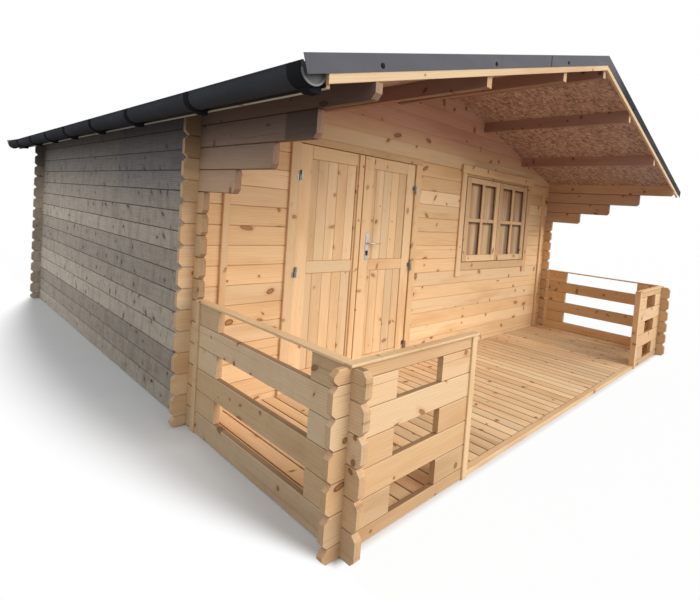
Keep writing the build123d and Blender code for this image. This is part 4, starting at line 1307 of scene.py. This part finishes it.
class CABIN_OT_set_stage(bpy.types.Operator):
    """Set the floor, the light and the camera."""

    bl_idname = "cabin.set_stage"
    bl_label = "Set the stage"

    shadow_long, shadow_wide, shadow_least = 3.3, 0.58, 0.02

    def execute(self, context):
        """A pale floor that fades to white, even light and one soft sun."""
        scene = context.scene
        stage = scene.cabin_stage
        scene.view_settings.view_transform = "Standard"
        size = stage.floor_size
        mesh = bpy.data.meshes.new("floor")
        mesh.from_pydata([(-size, -size, 0), (size, -size, 0), (size, size, 0), (-size, size, 0)], [], [(0, 1, 2, 3)])
        floor = piece_from("floor", mesh, self.floor_finish(stage))

        scene.world = bpy.data.worlds.new("even_light")
        scene.world.use_nodes = True
        n = Nodes(scene.world.node_tree)
        seen = n.seen()
        light = {"Color": n.mix(seen, stage.sky_tint, WHITE), "Strength": n.span(seen, 0.0, 1.0, stage.sky, 1.0)}
        n.add("ShaderNodeOutputWorld", {"Surface": n.made("ShaderNodeBackground", light)})

        lamp = bpy.data.lights.new("soft_sun", "SUN")
        lamp.energy = stage.sun
        lamp.angle = math.radians(stage.sun_spread)
        lamp.color = stage.sun_tint
        sun = bpy.data.objects.new("soft_sun", lamp)
        sun.rotation_euler = Vector(stage.sun_way).to_track_quat("-Z", "Y").to_euler()
        scene.collection.objects.link(sun)

        camera_data = bpy.data.cameras.new("camera")
        camera_data.sensor_width = stage.sensor
        camera_data.lens = stage.lens
        camera_data.shift_x, camera_data.shift_y = stage.shift_x, stage.shift_y
        camera = bpy.data.objects.new("camera", camera_data)
        ahead, right = Vector(stage.ahead).normalized(), Vector(stage.right)
        right = (right - ahead * right.dot(ahead)).normalized()
        turn = Matrix((right, right.cross(ahead), -ahead)).transposed().to_4x4()
        camera.matrix_world = Matrix.Translation(Vector(stage.eye)) @ turn
        scene.collection.objects.link(camera)
        scene.camera = camera
        return {"FINISHED"}

    def floor_finish(self, stage):
        """Pale floor that keeps the cabin's shadow in an oval along the left wall and glows nearly white elsewhere,
        right up to the front, right and back of the cabin.
        """
        f = Finish("pale_floor")
        x, y, _ = f.parts
        seen = f.seen()
        tint = f.mix(seen, stage.floor_bounce, stage.floor)
        soft = f.noise(f.place, scale=3.0)
        f.finish(f.mix(f.span(soft, 0.3, 0.7, 0.0, 0.03), tint, stage.floor_bounce), 0.9, shine=0.0)
        left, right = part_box("left_wall_logs")[0].x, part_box("right_wall_logs")[1].x
        front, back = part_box("left_front_rail_logs")[0].y, cad_box[1][1]
        reach = 1.0 - (abs(y) / self.shadow_long) ** 2.0
        reach = (reach * self.shadow_wide).most(self.shadow_least)
        away = f.span((left - x) / reach, 0.45, 1.5)
        for past in (
            f.span(y, front - 0.05, front, 0.95, 0.0), f.span(x, right, right + 0.12, 0.0, 0.95),
            f.span(y, back, back + 0.25, 0.0, 0.97),
        ):
            away = away.most(past)
        # The glow paints the floor white over the cabin's shadow everywhere outside the cabin and the oval along its
        # left wall.
        glow = f.made("ShaderNodeEmission", {"Color": (*WHITE, 1.0), "Strength": 1.0})
        shader = Value(f, f.shader.outputs[0])
        f.put(f.surface, f.made("ShaderNodeMixShader", {0: away * seen, 1: shader, 2: glow}))
        return f.material


STEPS = (
    CABIN_OT_set_stage, CABIN_OT_finish_logs, CABIN_OT_finish_roof, CABIN_OT_lay_boards, CABIN_OT_fit_trim,
    CABIN_OT_hang_doors, CABIN_OT_fit_handle, CABIN_OT_glaze_window, CABIN_OT_drive_screws, CABIN_OT_dress_gutter,
)


class CABIN_PT_steps(bpy.types.Panel):
    """The steps of the build, in order."""

    bl_idname = "CABIN_PT_steps"
    bl_label = "Log Cabin"
    bl_space_type = "VIEW_3D"
    bl_region_type = "UI"
    bl_category = "Cabin"

    def draw(self, context):
        """One button for each step."""
        for step in STEPS:
            self.layout.operator(step.bl_idname)


GROUPS = {
    "cabin_timber": CabinTimber, "cabin_boards": CabinBoards, "cabin_metal": CabinMetal, "cabin_stage": CabinStage,
}
CLASSES = (*GROUPS.values(), *STEPS, CABIN_PT_steps)


def register():
    """Add the classes and the settings."""
    for cls in CLASSES:
        bpy.utils.register_class(cls)
    for name, group in GROUPS.items():
        setattr(bpy.types.Scene, name, PointerProperty(type=group))


def unregister():
    """Take the settings and the classes away."""
    for name in GROUPS:
        delattr(bpy.types.Scene, name)
    for cls in reversed(CLASSES):
        bpy.utils.unregister_class(cls)


def main():
    """Run every step in order."""
    register()
    for step in STEPS:
        group, name = step.bl_idname.split(".")
        getattr(getattr(bpy.ops, group), name)()


if __name__ == "__main__":
    main()
